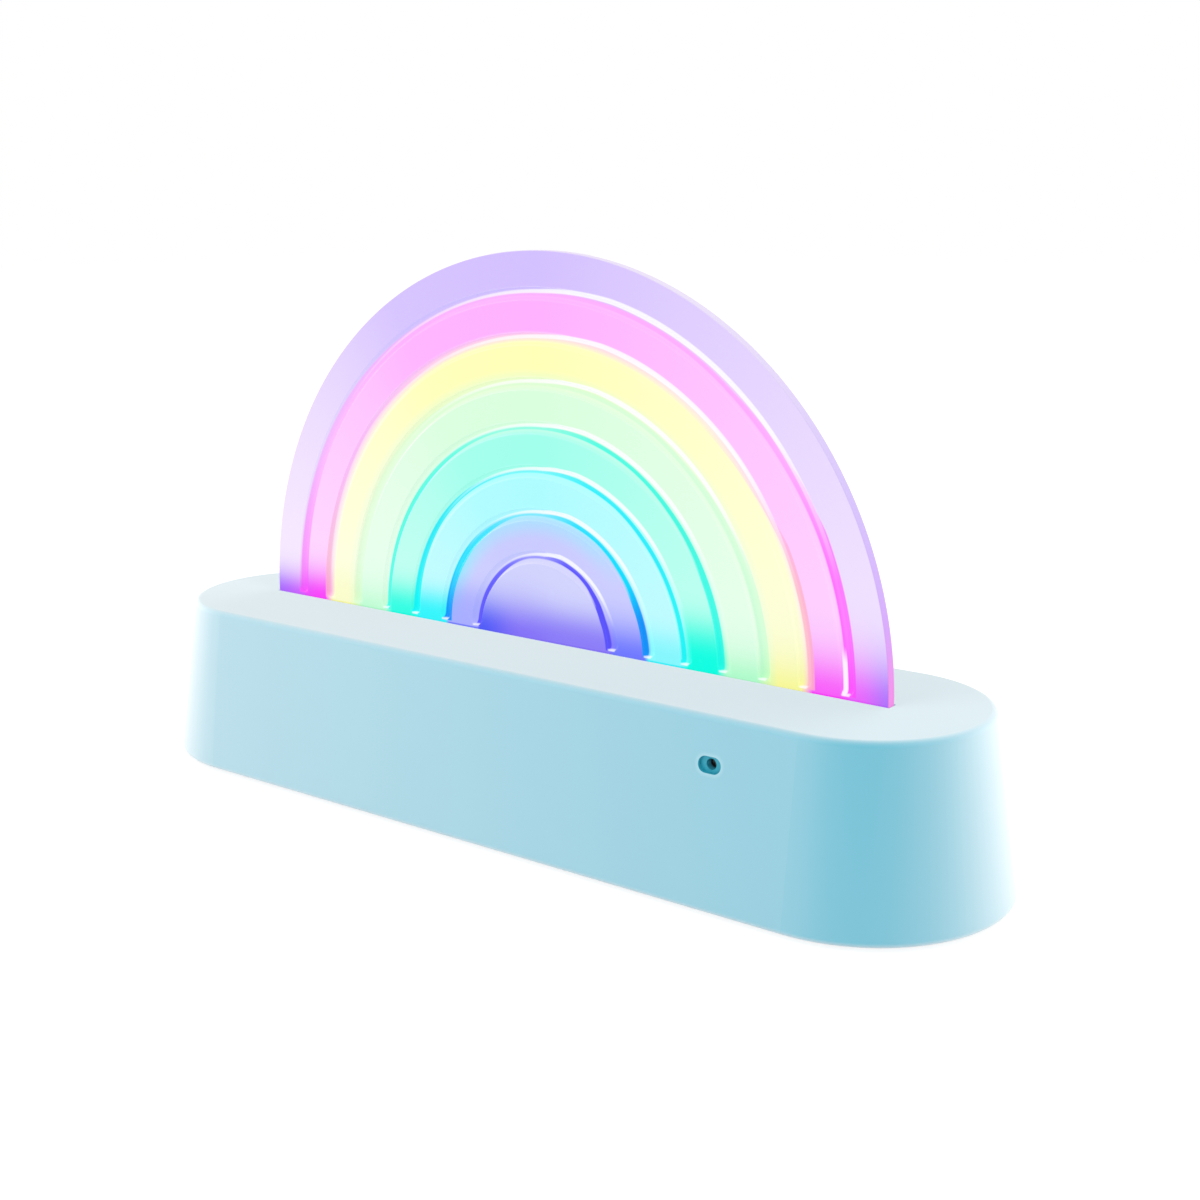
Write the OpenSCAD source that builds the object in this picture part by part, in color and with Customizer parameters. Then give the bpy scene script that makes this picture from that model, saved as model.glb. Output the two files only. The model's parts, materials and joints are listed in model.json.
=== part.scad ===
// Rainbow lamp: an edge-lit half-disc plate standing in the slot of a long, round-ended base.
// Millimetres. The origin is on the table, under the middle of the base. +X runs along the base
// towards the microphone port, the front faces -Y, and +Z is up.

/* [Rainbow plate] */
// Radius of the arch
arch_r = 90; // [84:1:96]
// Depth of the arch's centre under the top of the base
arch_sink = 0.75; // [0:0.25:2]
// Thickness of the plate
plate_t = 2.6; // [2.4:0.1:3]
// Width of one colour band, from groove to groove
band_w = 10; // [9:0.5:11]
// Number of grooves in the front face
groove_count = 7; // [4:1:7]
// Width of a groove at the face
groove_w = 3; // [2:0.1:3.4]
// Depth of a groove
groove_d = 1.2; // [0.8:0.1:1.4]
// Height of a groove's lower end above the base
groove_foot = 1.5; // [1:0.25:4]
// How far the plate's foot reaches below the arch's centre
foot_drop = 9; // [8:0.5:11]
// Bevel round the rim of the arch
rim_bevel = 0.3; // [0.2:0.05:0.4]

/* [Base shell] */
// Height of the base without its feet
base_h = 40; // [38:1:46]
// End radius of the top face, half its width
top_r = 26.5; // [25:0.5:30]
// How far the top face runs past the arch at each end
end_reach = 20.5; // [19:0.5:28]
// How much wider each side is at the bottom than at the top
side_flare = 5.7; // [4:0.1:8]
// Thickness of the side wall, measured level
wall_t = 2.4; // [2:0.1:2.8]
// Thickness of the top
top_t = 2.4; // [2:0.1:2.8]
// Radius of the top edge
top_edge_r = 1.5; // [0.8:0.1:1.8]
// Radius of the bottom edge
bottom_edge_r = 1.2; // [0.6:0.1:1.4]
// Width of the flat rim between the bottom edge and the cover
rim_w = 0.5; // [0.4:0.1:0.8]

/* [Cover and feet] */
// Thickness of the bottom cover
cover_t = 2.4; // [2:0.1:3]
// Gap round the bottom cover
cover_gap = 0.15; // [0.1:0.05:0.3]
// Diameter of a foot
foot_d = 12; // [9:0.5:13]
// Thickness of a foot
foot_t = 1.8; // [1.4:0.1:2.2]
// Depth of a foot's recess in the cover
foot_seat = 0.8; // [0.5:0.1:1]
// Distance of the feet from the middle, along the base
foot_x = 70; // [60:1:76]
// Distance of the feet from the middle, across the base
foot_y = 19; // [17:0.5:21]

/* [Screws] */
// Shank diameter of the larger screws
screw_d = 2.6; // [2.4:0.1:3]
// Head diameter of the larger screws
head_d = 4.8; // [4.4:0.1:5.2]
// Head height of the larger screws
head_h = 1.8; // [1.5:0.1:2]
// Shank length of the larger screws
screw_l = 7; // [6:0.5:8]
// Shank diameter of the small screws
fine_d = 2; // [1.8:0.1:2.2]
// Head diameter of the small screws
fine_head_d = 3.6; // [3.4:0.1:4]
// Head height of the small screws
fine_head_h = 1.3; // [1.1:0.1:1.5]
// Shank length of the small screws
fine_l = 5; // [4:0.5:5]
// Gap between a shank and its hole
screw_gap = 0.05; // [0.05:0.05:0.1]
// Gap between a head and its counterbore
head_gap = 0.3; // [0.2:0.05:0.5]
// Wall of plastic round a screw's pilot hole
boss_wall = 2.2; // [1.8:0.1:2.4]

/* [Cradle and lights] */
// Width of the cradle
cradle_w = 14; // [13:0.5:16]
// How far the cradle's block runs past the arch at each end
cradle_end = 7; // [6.5:0.5:8]
// Gap round the plate in the cradle
plate_gap = 0.1; // [0.05:0.05:0.2]
// Gap round the plate in the slot of the base
slot_gap = 0.25; // [0.2:0.05:0.4]
// Distance of the cradle's screws past the arch
ear_reach = 11; // [10.5:0.5:12]
// Thickness of the cradle's ears
ear_t = 3; // [2.5:0.5:3.5]
// Space between the ears and the roof
ear_drop = 4; // [3:0.5:5]
// Distance of the plate's screws from the middle
plate_screw_x = 65; // [45:5:70]
// Drop of the plate's screws below the roof
plate_screw_drop = 3.3; // [3:0.1:3.8]
// Side of a light-emitting diode's case
led_w = 5; // [3.5:0.5:5]
// Height of a light-emitting diode's case
led_h = 1.6; // [1:0.1:1.8]
// Gap between the diodes and the plate's foot
led_gap = 0.3; // [0.2:0.1:0.6]
// Thickness of a light baffle between two diodes
baffle_t = 1.2; // [1:0.1:2]
// Width of the light strip's board
strip_w = 8; // [7:0.5:9]
// Thickness of the light strip's board
strip_t = 1.2; // [1:0.1:1.6]
// Gap round the light strip's board
strip_gap = 0.2; // [0.1:0.05:0.3]
// Depth that the strip's pocket keeps below its board
strip_cover = 0.8; // [0.5:0.1:1]

/* [Main board] */
// Length of the main board
board_l = 70; // [66:1:74]
// Left end of the main board, from the middle
board_x0 = 8; // [6:0.5:10]
// Front edge of the main board, from the middle
board_front = 16; // [15.5:0.5:18]
// Thickness of the main board
board_t = 1.6; // [1.2:0.2:2]
// Height of the main board's underside above the cover
board_rise = 7.6; // [6:0.2:10]
// Distance of the board's screws from its ends
board_screw_in = 4; // [3.6:0.2:5]
// Distance of the front screws from the middle
board_screw_front = 11.8; // [11.6:0.2:12.4]
// Distance of the rear screws from the middle
board_screw_rear = 18; // [16:0.5:18.5]
// Height of the ports' centre line above the board
port_rise = 2; // [2:0.1:2.4]

/* [Rear port bay] */
// Length of the port bay
bay_l = 44; // [40:1:48]
// Height of the port bay
bay_h = 13; // [12:0.5:14]
// Middle of the port bay
bay_x = 39; // [37:1:42]
// Depth of the bay's floor in the rear wall, at the ports' height
bay_depth = 1.7; // [1.5:0.1:2.2]
// Wall behind the bay's floor
bay_wall = 2.2; // [1.8:0.1:2.4]
// Gap between the bay's wall and the main board
board_gap = 0.4; // [0.3:0.1:0.6]
// Diameter of the mode button
button_d = 8; // [7:0.5:9]
// Gap round the mode button
button_gap = 0.3; // [0.2:0.05:0.4]
// How far the button stands proud of the bay's floor
button_proud = 0.9; // [0.8:0.1:1.2]
// Travel of the mode button
button_travel = 0.4; // [0.2:0.05:0.5]
// Distance of the button from the bay's middle
button_off = 13; // [12:0.5:15]
// Distance of the socket from the bay's middle
usb_off = 13; // [12:0.5:15]
// Gap round the socket in the bay's wall
usb_gap = 0.3; // [0.2:0.05:0.5]
// Diameter of the charge light's pipe
pipe_d = 2.4; // [2:0.1:3]

/* [Microphone] */
// Distance of the microphone port from the middle
mic_x = 64.5; // [60:0.5:68]
// Height of the microphone port above the base's bottom edge
mic_h = 30.1; // [29:0.1:31]
// Length of the recess round the port
mic_recess_l = 5.4; // [4.5:0.1:6]
// Height of the recess round the port
mic_recess_h = 3.4; // [3:0.1:4]
// Depth of the recess round the port
mic_recess_d = 0.8; // [0.5:0.1:1]
// Diameter of the sound hole
mic_hole_d = 2.4; // [1.5:0.1:2.8]
// Diameter of the microphone capsule
capsule_d = 6; // [5.5:0.1:6.4]
// Length of the microphone capsule
capsule_l = 3.4; // [3:0.1:4]
// Wall of the rubber boot
boot_wall = 0.8; // [0.6:0.1:1]
// Wall of the collar round the boot
collar_wall = 1.2; // [1:0.1:1.4]

/* [Battery] */
// Diameter of the cell
cell_d = 18.4; // [17.8:0.1:18.6]
// Length of the cell
cell_l = 65; // [60:1:67]
// Left end of the cell, from the middle
cell_x0 = 76; // [75:1:78]
// Height of the cell above the cover
cell_rise = 1; // [0.8:0.1:1.5]
// Thickness of the strap
strap_t = 1.6; // [1.2:0.1:2]
// Width of the strap
strap_w = 10; // [8:0.5:12]
// Gap between the cell and its saddles or strap
cell_gap = 0.1; // [0.05:0.05:0.2]
// Thickness of a saddle rib
saddle_t = 3; // [2:0.5:4]

/* [Leads] */
// Diameter of the lead to the light strip
led_lead_d = 2.4; // [2:0.1:2.6]
// Diameter of the battery's lead
battery_lead_d = 2.2; // [1.8:0.1:2.4]
// Diameter of the microphone's lead
mic_lead_d = 1.6; // [1.2:0.1:1.8]

/* [Hidden] */
$fn = 96;
// Overshoot of a cutting solid past the face that it opens
cut = 1;

// Levels, from the table up
base_z = foot_t - foot_seat;
cover_z = base_z + cover_t;
top_z = base_z + base_h;
roof_z = top_z - top_t;
arch_z = top_z - arch_sink;
foot_z = arch_z - foot_drop;
strip_z = foot_z - led_gap - led_h;
cradle_z = strip_z - strip_t - strip_cover;
ear_z = roof_z - ear_drop - ear_t;
plate_screw_z = roof_z - plate_screw_drop;
board_z = cover_z + board_rise;
board_top = board_z + board_t;
port_z = board_top + port_rise;
mic_z = base_z + mic_h;
cell_z = cover_z + cell_rise + cell_d / 2;

// Half width of the base at a height, outside and inside
function side_r(z) = top_r + side_flare * (top_z - z) / base_h;
function inner_r(z) = side_r(z) - wall_t;

// Places along and across
bay_y = side_r(port_z) - bay_depth;
end_x = arch_r + end_reach - top_r;
cradle_x = arch_r + cradle_end;
ear_x = arch_r + ear_reach;
strip_end_gap = 1;
strip_half = cradle_x - strip_end_gap - strip_gap;
strip_screw_x = arch_r + cradle_end / 2;
pad_y = bay_y - bay_wall;
board_rear = pad_y - board_gap;
board_x1 = board_x0 + board_l;
button_x = bay_x - button_off;
usb_x = bay_x + usb_off;
boss_r = screw_d / 2 + boss_wall;
fine_boss_r = fine_d / 2 + boss_wall;
cover_r = top_r + side_flare - bottom_edge_r - rim_w;

// Fits and small shapes
tip_gap = 0.4;
screw_past = 4;
end_screw_in = 11.5;
mid_screw_in = 8.5;
recess_share = 0.6;
cap_taper = 0.8;
foot_gap = 0.1;
foot_bevel = 0.3;
head_sink = 0.4;
pad_rise = 2;
pad_wall = 1.2;
pad_margin = 2;
ear_wall = 1.4;
cell_side = 0.3;
plate_screw_l = 10;
led_well = 0.5;
led_lens = 0.66;
led_lens_top = 0.8;
groove_steps = 6;
edge_steps = 12;
pocket_over = 0.1;
pocket_share = 0.8;

// Distances that follow from the sizes above
boss_z = cover_z + pad_rise;
cover_seat_z = base_z + head_sink + head_h;
pad_r = head_d / 2 + head_gap + pad_wall;
ear_r = head_d / 2 + ear_wall;
plate_seat_y = cradle_w / 2 - fine_head_h - head_sink / 2;

// Microphone port
boot_r = capsule_d / 2 + boot_wall;
boot_l = capsule_l + boot_wall;
mic_floor_y = wall_t - side_r(mic_z);
collar_short = 0.6;

// Connectors and chips on the boards
connector_step = 0.8;
socket_x = 30;
socket_l = 6;
socket_w = 5;
socket_h = 3.4;
header_x = 20;
header_h = 5;
battery_x = board_x0 + 1;
battery_y = 10;
plug_l = 4.5;
plug_w = 4;
plug_h = 3.4;
mic_header_x = 60;
mic_header_y = -11;
mic_header_w = 4;
mic_header_h = 4.5;
chip_x = 44;
chip_l = 10;
chip_legs = 8;
chip_w = 3.9;
chip_h = 1.5;
chip_lift = 0.2;
leg_pitch = 1.27;
leg_w = 0.4;
leg_reach = 1;
charger_l = 5;
charger_legs = 4;
charger_x = 56;
charger_y = 5;
coil_x = 66;
coil_w = 6;
coil_d = 5.5;
coil_h = 3;
coil_base = 0.8;
can_spots = [[34, 11], [42, 13]];
can_d = 5;
can_h = 5.4;
can_base = 0.8;

// Charging socket
usb_w = 8.94;
usb_h = 3.26;
usb_l = 7.3;
usb_skin = 0.3;
usb_leg = 0.9;
usb_mouth_in = 0.3;
usb_back_y = bay_y - usb_mouth_in - usb_l;
tongue_w = 6.2;
tongue_t = 0.7;
tongue_root = 1.6;
tongue_short = 1;

// Mode button, from its face inwards
flange_t = 1;
flange_lip = 1.2;
flange_r = button_d / 2 + flange_lip;
flange_rest = 0.1;
stem_l = 0.4;
stem_wall = 0.5;
dish_d = 0.35;
dish_share = 0.9;
dish_r = pow(button_d * dish_share, 2) / (8 * dish_d);
button_face_y = bay_y + button_proud;
flange_y = pad_y - flange_rest - flange_t;
plunger_y = flange_y - stem_l;
plunger_out = 1.3;
plunger_in = 0.8;
plunger_r = 1.7;
plunger_gap = 0.08;
plunger_rest = 0.2;
switch_y = plunger_y - plunger_out;
plunger_back = switch_y - plunger_in;
switch_w = 6;
switch_l = 3.6;
switch_over = 2.6;
notch_gap = 0.5;
notch_half = flange_r + notch_gap;
notch_y = flange_y - button_travel - notch_gap;

// Charge light
charge_w = 3;
charge_l = 1.6;
charge_gap = 0.2;
pipe_rim = 0.6;

// Cell and strap
nub_r = 3;
nub_l = 1.2;
cell_end = cell_l - cell_x0;
saddle_in = 9;
saddle_half = 12;
saddle_drop = 3;
strap_x = cell_l / 2 - cell_x0;
strap_ear = 1.2;
strap_screw_y = cell_d / 2 + cell_gap + strap_t + fine_head_d / 2 + strap_ear;
post_h = 5;
post_z = cover_z + post_h;
function saddle_spots() = [saddle_in - cell_x0, cell_end - saddle_in];

// Routes of the leads: the ends follow what they meet
lead_inset = 0.1;
battery_lead_rise = 5;
led_start = [socket_x, 0, strip_z - strip_t - socket_h + led_lead_d / 2 + lead_inset];
led_finish = [header_x, 0, board_top + header_h / 2];
led_route = [
    led_start, led_start + [-4, 0, 0], led_start + [-11, -1, -2], led_start + [-17, -2, -6],
    led_finish + [-7, -1.5, 1.6], led_finish + [-3.5, 0, 0], led_finish];
battery_start = [cell_end, 0, cell_z + battery_lead_rise];
battery_finish = [battery_x - plug_l, battery_y, board_top + header_h / 2];
battery_route = [
    battery_start, battery_start + [3, 0, 0], battery_start + [7.5, 2, 0],
    battery_finish + [-5, -3, 1.2], battery_finish + [-2.5, 0, 0], battery_finish];
mic_start = [mic_x, mic_floor_y + boot_l, mic_z];
mic_finish = [mic_header_x, mic_header_y, board_top + mic_header_h];
mic_route = [
    mic_start, mic_start + [0, 2.5, 0], mic_start + [-1.5, 7.5, -3.5],
    mic_finish + [0.5, -1, 6], mic_finish + [0, 0, 2.5], mic_finish];

// Points of an arc from angle a to angle b
function arc(x, y, r, a, b, steps) =
    [for (i = [0 : steps]) [x + r * cos(a + (b - a) * i / steps), y + r * sin(a + (b - a) * i / steps)]];

// A solid of revolution's half at each end and the same profile drawn straight between them
module round_ended(profile, half) {
    for (side = [0, 1])
        mirror([side, 0, 0])
            translate([half, 0, 0])
                rotate([0, 0, -90])
                    rotate_extrude(angle = 180, $fn = 180)
                        polygon(profile);
    translate([-half, 0, 0])
        rotate([90, 0, 90])
            linear_extrude(2 * half)
                polygon(concat(profile, [for (i = [len(profile) - 1 : -1 : 0]) if (profile[i][0] > 0)
                    [-profile[i][0], profile[i][1]]]));
}

module stadium(half, r) {
    translate([-half, -r]) square([2 * half, 2 * r]);
    for (x = [-half, half])
        translate([x, 0]) circle(r, $fn = 180);
}

// A screw that points up: the underside of its head is at the origin
module screw(d, l, cap_d, cap_h) {
    slot_w = cap_d / 6;
    slot_l = cap_d * recess_share;
    tip = d / 2;
    difference() {
        union() {
            translate([0, 0, -cap_h / 2]) cylinder(d = cap_d, h = cap_h / 2);
            translate([0, 0, -cap_h]) cylinder(d1 = cap_d * cap_taper, d2 = cap_d, h = cap_h / 2);
            cylinder(d = d, h = l - tip);
            translate([0, 0, l - tip]) cylinder(d1 = d, d2 = d / 2, h = tip);
        }
        for (turn = [0, 90])
            rotate([0, 0, turn])
                translate([-slot_l / 2, -slot_w / 2, -cap_h - cut]) cube([slot_l, slot_w, cap_h / 2 + cut]);
    }
}

module large_screw() { screw(screw_d, screw_l, head_d, head_h); }
module small_screw() { screw(fine_d, fine_l, fine_head_d, fine_head_h); }

// Seats of the screws that hold the cover, as points on the plan
function cover_screw_spots() = concat(
    [for (sx = [-1, 1]) for (sy = [-1, 1]) [sx * (end_x + screw_past), sy * (top_r - end_screw_in)]],
    [for (sy = [-1, 1]) [0, sy * (top_r - mid_screw_in)]]);
function board_screw_spots() = [
    for (x = [board_x0 + board_screw_in, board_x1 - board_screw_in])
        for (y = [-board_screw_front, board_screw_rear]) [x, y]];
function foot_spots() = [for (sx = [-1, 1]) for (sy = [-1, 1]) [sx * foot_x, sy * foot_y]];

// Middles of the light cells, one pair for each band and more under the half disc
cell_pairs = floor(arch_r / band_w);
function light_spots() = [
    for (i = [0 : cell_pairs - 1]) for (side = [-1, 1]) side * (arch_r - (i + 0.5) * band_w)];

// Outline of the shell from the middle out, with its two edges rounded
lean = atan(side_flare / base_h);
function shell_outline() =
    let (slope = side_flare / base_h,
         low_x = top_r + slope * (base_h - bottom_edge_r) - bottom_edge_r / cos(lean),
         high_x = top_r + slope * top_edge_r - top_edge_r / cos(lean))
    concat([[0, base_z]],
           arc(low_x, base_z + bottom_edge_r, bottom_edge_r, -90, lean, edge_steps),
           arc(high_x, top_z - top_edge_r, top_edge_r, lean, 90, edge_steps),
           [[0, top_z]]);
function hollow_outline() = [
    [0, base_z - cut], [inner_r(base_z - cut), base_z - cut], [inner_r(roof_z), roof_z], [0, roof_z]];

module base_housing() {
    color("lightblue")
    difference() {
        round_ended(shell_outline(), end_x);
        difference() {
            round_ended(hollow_outline(), end_x);
            housing_bosses();
            bay_pad();
            mic_collar();
        }
        translate([0, 0, base_z - cut]) linear_extrude(cover_t + cut) stadium(end_x, cover_r);
        housing_pilots();
        plate_slot();
        bay_cuts();
        mic_port();
    }
}

module housing_bosses() {
    boss_top = roof_z + cut;
    for (p = cover_screw_spots())
        translate([p[0], p[1], boss_z]) cylinder(r = boss_r, h = boss_top - boss_z);
    for (p = board_screw_spots())
        translate([p[0], p[1], board_top]) cylinder(r = fine_boss_r, h = boss_top - board_top);
    for (side = [-1, 1])
        translate([side * ear_x, 0, ear_z + ear_t]) cylinder(r = boss_r, h = boss_top - ear_z - ear_t);
}

module housing_pilots() {
    for (p = cover_screw_spots())
        translate([p[0], p[1], boss_z - cut])
            cylinder(d = screw_d + 2 * screw_gap, h = cover_seat_z + screw_l + tip_gap - boss_z + cut);
    for (p = board_screw_spots())
        translate([p[0], p[1], board_top - cut])
            cylinder(d = fine_d + 2 * screw_gap, h = fine_l - board_t + tip_gap + cut);
    for (side = [-1, 1])
        translate([side * ear_x, 0, ear_z + ear_t - cut])
            cylinder(d = screw_d + 2 * screw_gap, h = screw_l - ear_t + tip_gap + cut);
}

module plate_slot() {
    half_l = arch_r + slot_gap;
    half_w = plate_t / 2 + slot_gap;
    translate([-half_l, -half_w, roof_z - cut]) cube([2 * half_l, 2 * half_w, top_t + 2 * cut]);
}

// A flat outline in the bay's plane, drawn out along +Y from a distance y
module behind(x, y, depth) {
    translate([x, y, port_z]) rotate([-90, 0, 0]) linear_extrude(depth) children();
}

module bay_pad() {
    pad_l = bay_l + 2 * pad_margin;
    pad_h = bay_h + 2 * pad_margin;
    translate([bay_x - pad_l / 2, pad_y, port_z - pad_h / 2])
        cube([pad_l, top_r + side_flare - pad_y, pad_h]);
}

module bay_cuts() {
    behind(bay_x, bay_y, top_r + side_flare - bay_y + cut) stadium((bay_l - bay_h) / 2, bay_h / 2);
    through = bay_wall + 2 * cut;
    behind(button_x, pad_y - cut, through) circle(d = button_d + 2 * button_gap);
    behind(bay_x, pad_y - cut, through) circle(d = pipe_d);
    behind(usb_x, pad_y - cut, through) stadium((usb_w - usb_h) / 2, usb_h / 2 + usb_gap);
}

// A round bar along the sound hole, from a distance y towards the front
module along_mic(y, r, l) {
    translate([mic_x, y, mic_z]) rotate([90, 0, 0]) cylinder(r = r, h = l);
}

module mic_collar() {
    along_mic(mic_floor_y + boot_l - collar_short, boot_r + collar_wall, top_r + side_flare);
}

module mic_port() {
    along_mic(mic_floor_y + boot_l, boot_r, boot_l);
    along_mic(mic_floor_y + cut, mic_hole_d / 2, side_r(mic_z));
    recess_y = side_r(mic_z) - mic_recess_d;
    translate([mic_x, -recess_y, mic_z])
        rotate([90, 0, 0])
            linear_extrude(mic_recess_d + cut)
                stadium((mic_recess_l - mic_recess_h) / 2, mic_recess_h / 2);
}

module bottom_cover() {
    color("lightblue")
    difference() {
        union() {
            translate([0, 0, base_z]) linear_extrude(cover_t) stadium(end_x, cover_r - cover_gap);
            for (p = cover_screw_spots())
                translate([p[0], p[1], base_z]) cylinder(r = pad_r, h = boss_z - base_z);
            for (x = saddle_spots())
                translate([x - saddle_t / 2, -saddle_half, base_z])
                    cube([saddle_t, 2 * saddle_half, cell_z - saddle_drop - base_z]);
            for (side = [-1, 1])
                translate([strap_x, side * strap_screw_y, base_z])
                    cylinder(r = fine_boss_r, h = post_z - base_z);
        }
        for (p = cover_screw_spots()) {
            translate([p[0], p[1], base_z - cut])
                cylinder(r = head_d / 2 + head_gap, h = cover_seat_z - base_z + cut);
            translate([p[0], p[1], base_z]) cylinder(d = screw_d + 2 * screw_gap, h = boss_z - base_z + cut);
        }
        for (p = foot_spots())
            translate([p[0], p[1], base_z - cut]) cylinder(d = foot_d + 2 * foot_gap, h = foot_seat + cut);
        along_cell(-cell_x0 - cut, cell_d / 2 + cell_gap, cell_l + 2 * cut);
        for (side = [-1, 1])
            translate([strap_x, side * strap_screw_y, post_z + strap_t - fine_l - tip_gap])
                cylinder(d = fine_d + 2 * screw_gap, h = fine_l + tip_gap);
    }
}

module cover_screws() {
    color("silver")
    for (p = cover_screw_spots())
        translate([p[0], p[1], cover_seat_z]) large_screw();
}

module rubber_feet() {
    color("dimgray")
    for (p = foot_spots())
        translate([p[0], p[1], 0]) {
            cylinder(d1 = foot_d - 2 * foot_bevel, d2 = foot_d, h = foot_bevel);
            translate([0, 0, foot_bevel]) cylinder(d = foot_d, h = foot_t - foot_bevel);
        }
}

// Section of a groove: a shallow arc below the face, open above it
function groove_section() =
    let (nose_r = (groove_w * groove_w / 4 + groove_d * groove_d) / (2 * groove_d),
         spread = asin(groove_w / (2 * nose_r)))
    concat([[-groove_w / 2, cut]],
           arc(0, nose_r - groove_d, nose_r, -90 - spread, spread - 90, groove_steps),
           [[groove_w / 2, cut]]);

// Groove of the front face, with a round pocket, a little wider and shallower, at both lower ends
module groove(r) {
    pocket_r = groove_w / 2 + pocket_over;
    pocket_d = groove_d * pocket_share;
    end_h = arch_sink + groove_foot + pocket_r;
    end_turn = asin(end_h / r);
    translate([0, -plate_t / 2, arch_z])
        rotate([90, 0, 0]) {
            rotate([0, 0, end_turn])
                rotate_extrude(angle = 180 - 2 * end_turn, $fn = 180)
                    translate([r, 0]) polygon(groove_section());
            for (side = [-1, 1])
                translate([side * r * cos(end_turn), end_h, -pocket_d])
                    cylinder(r = pocket_r, h = pocket_d + cut, $fn = 48);
        }
}

// Profile of the half disc from its centre out, with both rims bevelled
function disc_outline() = [
    [0, -plate_t / 2], [arch_r - rim_bevel, -plate_t / 2], [arch_r, rim_bevel - plate_t / 2],
    [arch_r, plate_t / 2 - rim_bevel], [arch_r - rim_bevel, plate_t / 2], [0, plate_t / 2]];

module rainbow_plate() {
    color("plum")
    difference() {
        union() {
            translate([0, 0, arch_z])
                rotate([90, 0, 0])
                    rotate_extrude(angle = 180, $fn = 360) polygon(disc_outline());
            translate([-arch_r, -plate_t / 2, foot_z]) cube([2 * arch_r, plate_t, foot_drop]);
        }
        for (i = [1 : groove_count]) groove(arch_r - i * band_w);
        for (side = [-1, 1])
            across(side * plate_screw_x, plate_t / 2 + cut, fine_d / 2 + screw_gap, plate_t + 2 * cut);
    }
}

// A round bar towards the front through the cradle, from a distance y
module across(x, y, r, l) {
    translate([x, y, plate_screw_z]) rotate([90, 0, 0]) cylinder(r = r, h = l);
}

module plate_screws() {
    color("silver")
    for (side = [-1, 1])
        translate([side * plate_screw_x, plate_seat_y, plate_screw_z])
            rotate([90, 0, 0]) screw(fine_d, plate_screw_l, fine_head_d, fine_head_h);
}

module plate_cradle() {
    cell_l = band_w - baffle_t;
    cell_w = led_w + 2 * cell_side;
    color("white")
    difference() {
        union() {
            translate([-cradle_x, -cradle_w / 2, cradle_z]) cube([2 * cradle_x, cradle_w, roof_z - cradle_z]);
            for (side = [-1, 1]) {
                translate([side * ear_x, 0, ear_z]) cylinder(r = ear_r, h = ear_t);
                translate([side * (cradle_x + ear_x) / 2 - (ear_x - cradle_x) / 2, -ear_r, ear_z])
                    cube([ear_x - cradle_x, 2 * ear_r, ear_t]);
            }
        }
        translate([-arch_r - plate_gap, -plate_t / 2 - plate_gap, foot_z])
            cube([2 * (arch_r + plate_gap), plate_t + 2 * plate_gap, roof_z - foot_z + cut]);
        for (x = light_spots())
            translate([x - cell_l / 2, -cell_w / 2, strip_z - cut])
                cube([cell_l, cell_w, foot_z - strip_z + cut]);
        translate([-strip_half - strip_gap, -strip_w / 2 - strip_gap, cradle_z - cut])
            cube([2 * (strip_half + strip_gap), strip_w + 2 * strip_gap, strip_z - cradle_z + cut]);
        for (side = [-1, 1]) {
            translate([side * ear_x, 0, ear_z - cut])
                cylinder(d = screw_d + 2 * screw_gap, h = ear_t + 2 * cut);
            translate([side * strip_screw_x, 0, strip_z - cut])
                cylinder(d = fine_d + 2 * screw_gap, h = fine_l - strip_t + tip_gap + cut);
            across(side * plate_screw_x, plate_seat_y, fine_d / 2 + screw_gap, plate_screw_l + tip_gap);
            across(side * plate_screw_x, cradle_w / 2 + cut, fine_head_d / 2 + head_gap,
                   cradle_w / 2 + cut - plate_seat_y);
        }
    }
}

module cradle_screws() {
    color("silver")
    for (side = [-1, 1])
        translate([side * ear_x, 0, ear_z]) large_screw();
}

module led_board() {
    color("white")
    difference() {
        translate([-strip_half, -strip_w / 2, strip_z - strip_t]) cube([2 * strip_half, strip_w, strip_t]);
        for (side = [-1, 1])
            translate([side * strip_screw_x, 0, strip_z - strip_t - cut])
                cylinder(d = fine_d + 2 * screw_gap, h = strip_t + 2 * cut);
    }
}

module rgb_leds() {
    color("ivory")
    for (x = light_spots())
        translate([x, 0, strip_z])
            difference() {
                translate([-led_w / 2, -led_w / 2, 0]) cube([led_w, led_w, led_h]);
                translate([0, 0, led_h - led_well])
                    cylinder(d1 = led_w * led_lens, d2 = led_w * led_lens_top, h = led_well);
            }
}

module led_board_screws() {
    color("silver")
    for (side = [-1, 1])
        translate([side * strip_screw_x, 0, strip_z - strip_t]) small_screw();
}

// Housing of a plug or header, with a step along its top; its left face is at the origin
module connector(l, w, h) {
    difference() {
        translate([0, -w / 2, 0]) cube([l, w, h]);
        translate([l / 2, -w / 2 - cut, h - connector_step])
            cube([l / 2 + cut, w + 2 * cut, connector_step + cut]);
    }
}

module led_socket() {
    color("white")
    translate([socket_x, 0, strip_z - strip_t])
        mirror([0, 0, 1]) connector(socket_l, socket_w, socket_h);
}

module led_header() {
    color("white")
    translate([header_x, 0, board_top]) connector(socket_l, socket_w, header_h);
}

module battery_header() {
    color("white")
    translate([battery_x, battery_y, board_top]) connector(socket_l, socket_w, header_h);
}

module battery_plug() {
    color("ivory")
    translate([battery_x, battery_y, board_top + header_h / 2 - plug_h / 2])
        mirror([1, 0, 0]) connector(plug_l, plug_w, plug_h);
}

module microphone_header() {
    color("white")
    translate([mic_header_x - socket_w / 2, mic_header_y, board_top])
        connector(socket_w, mic_header_w, mic_header_h);
}

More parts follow.
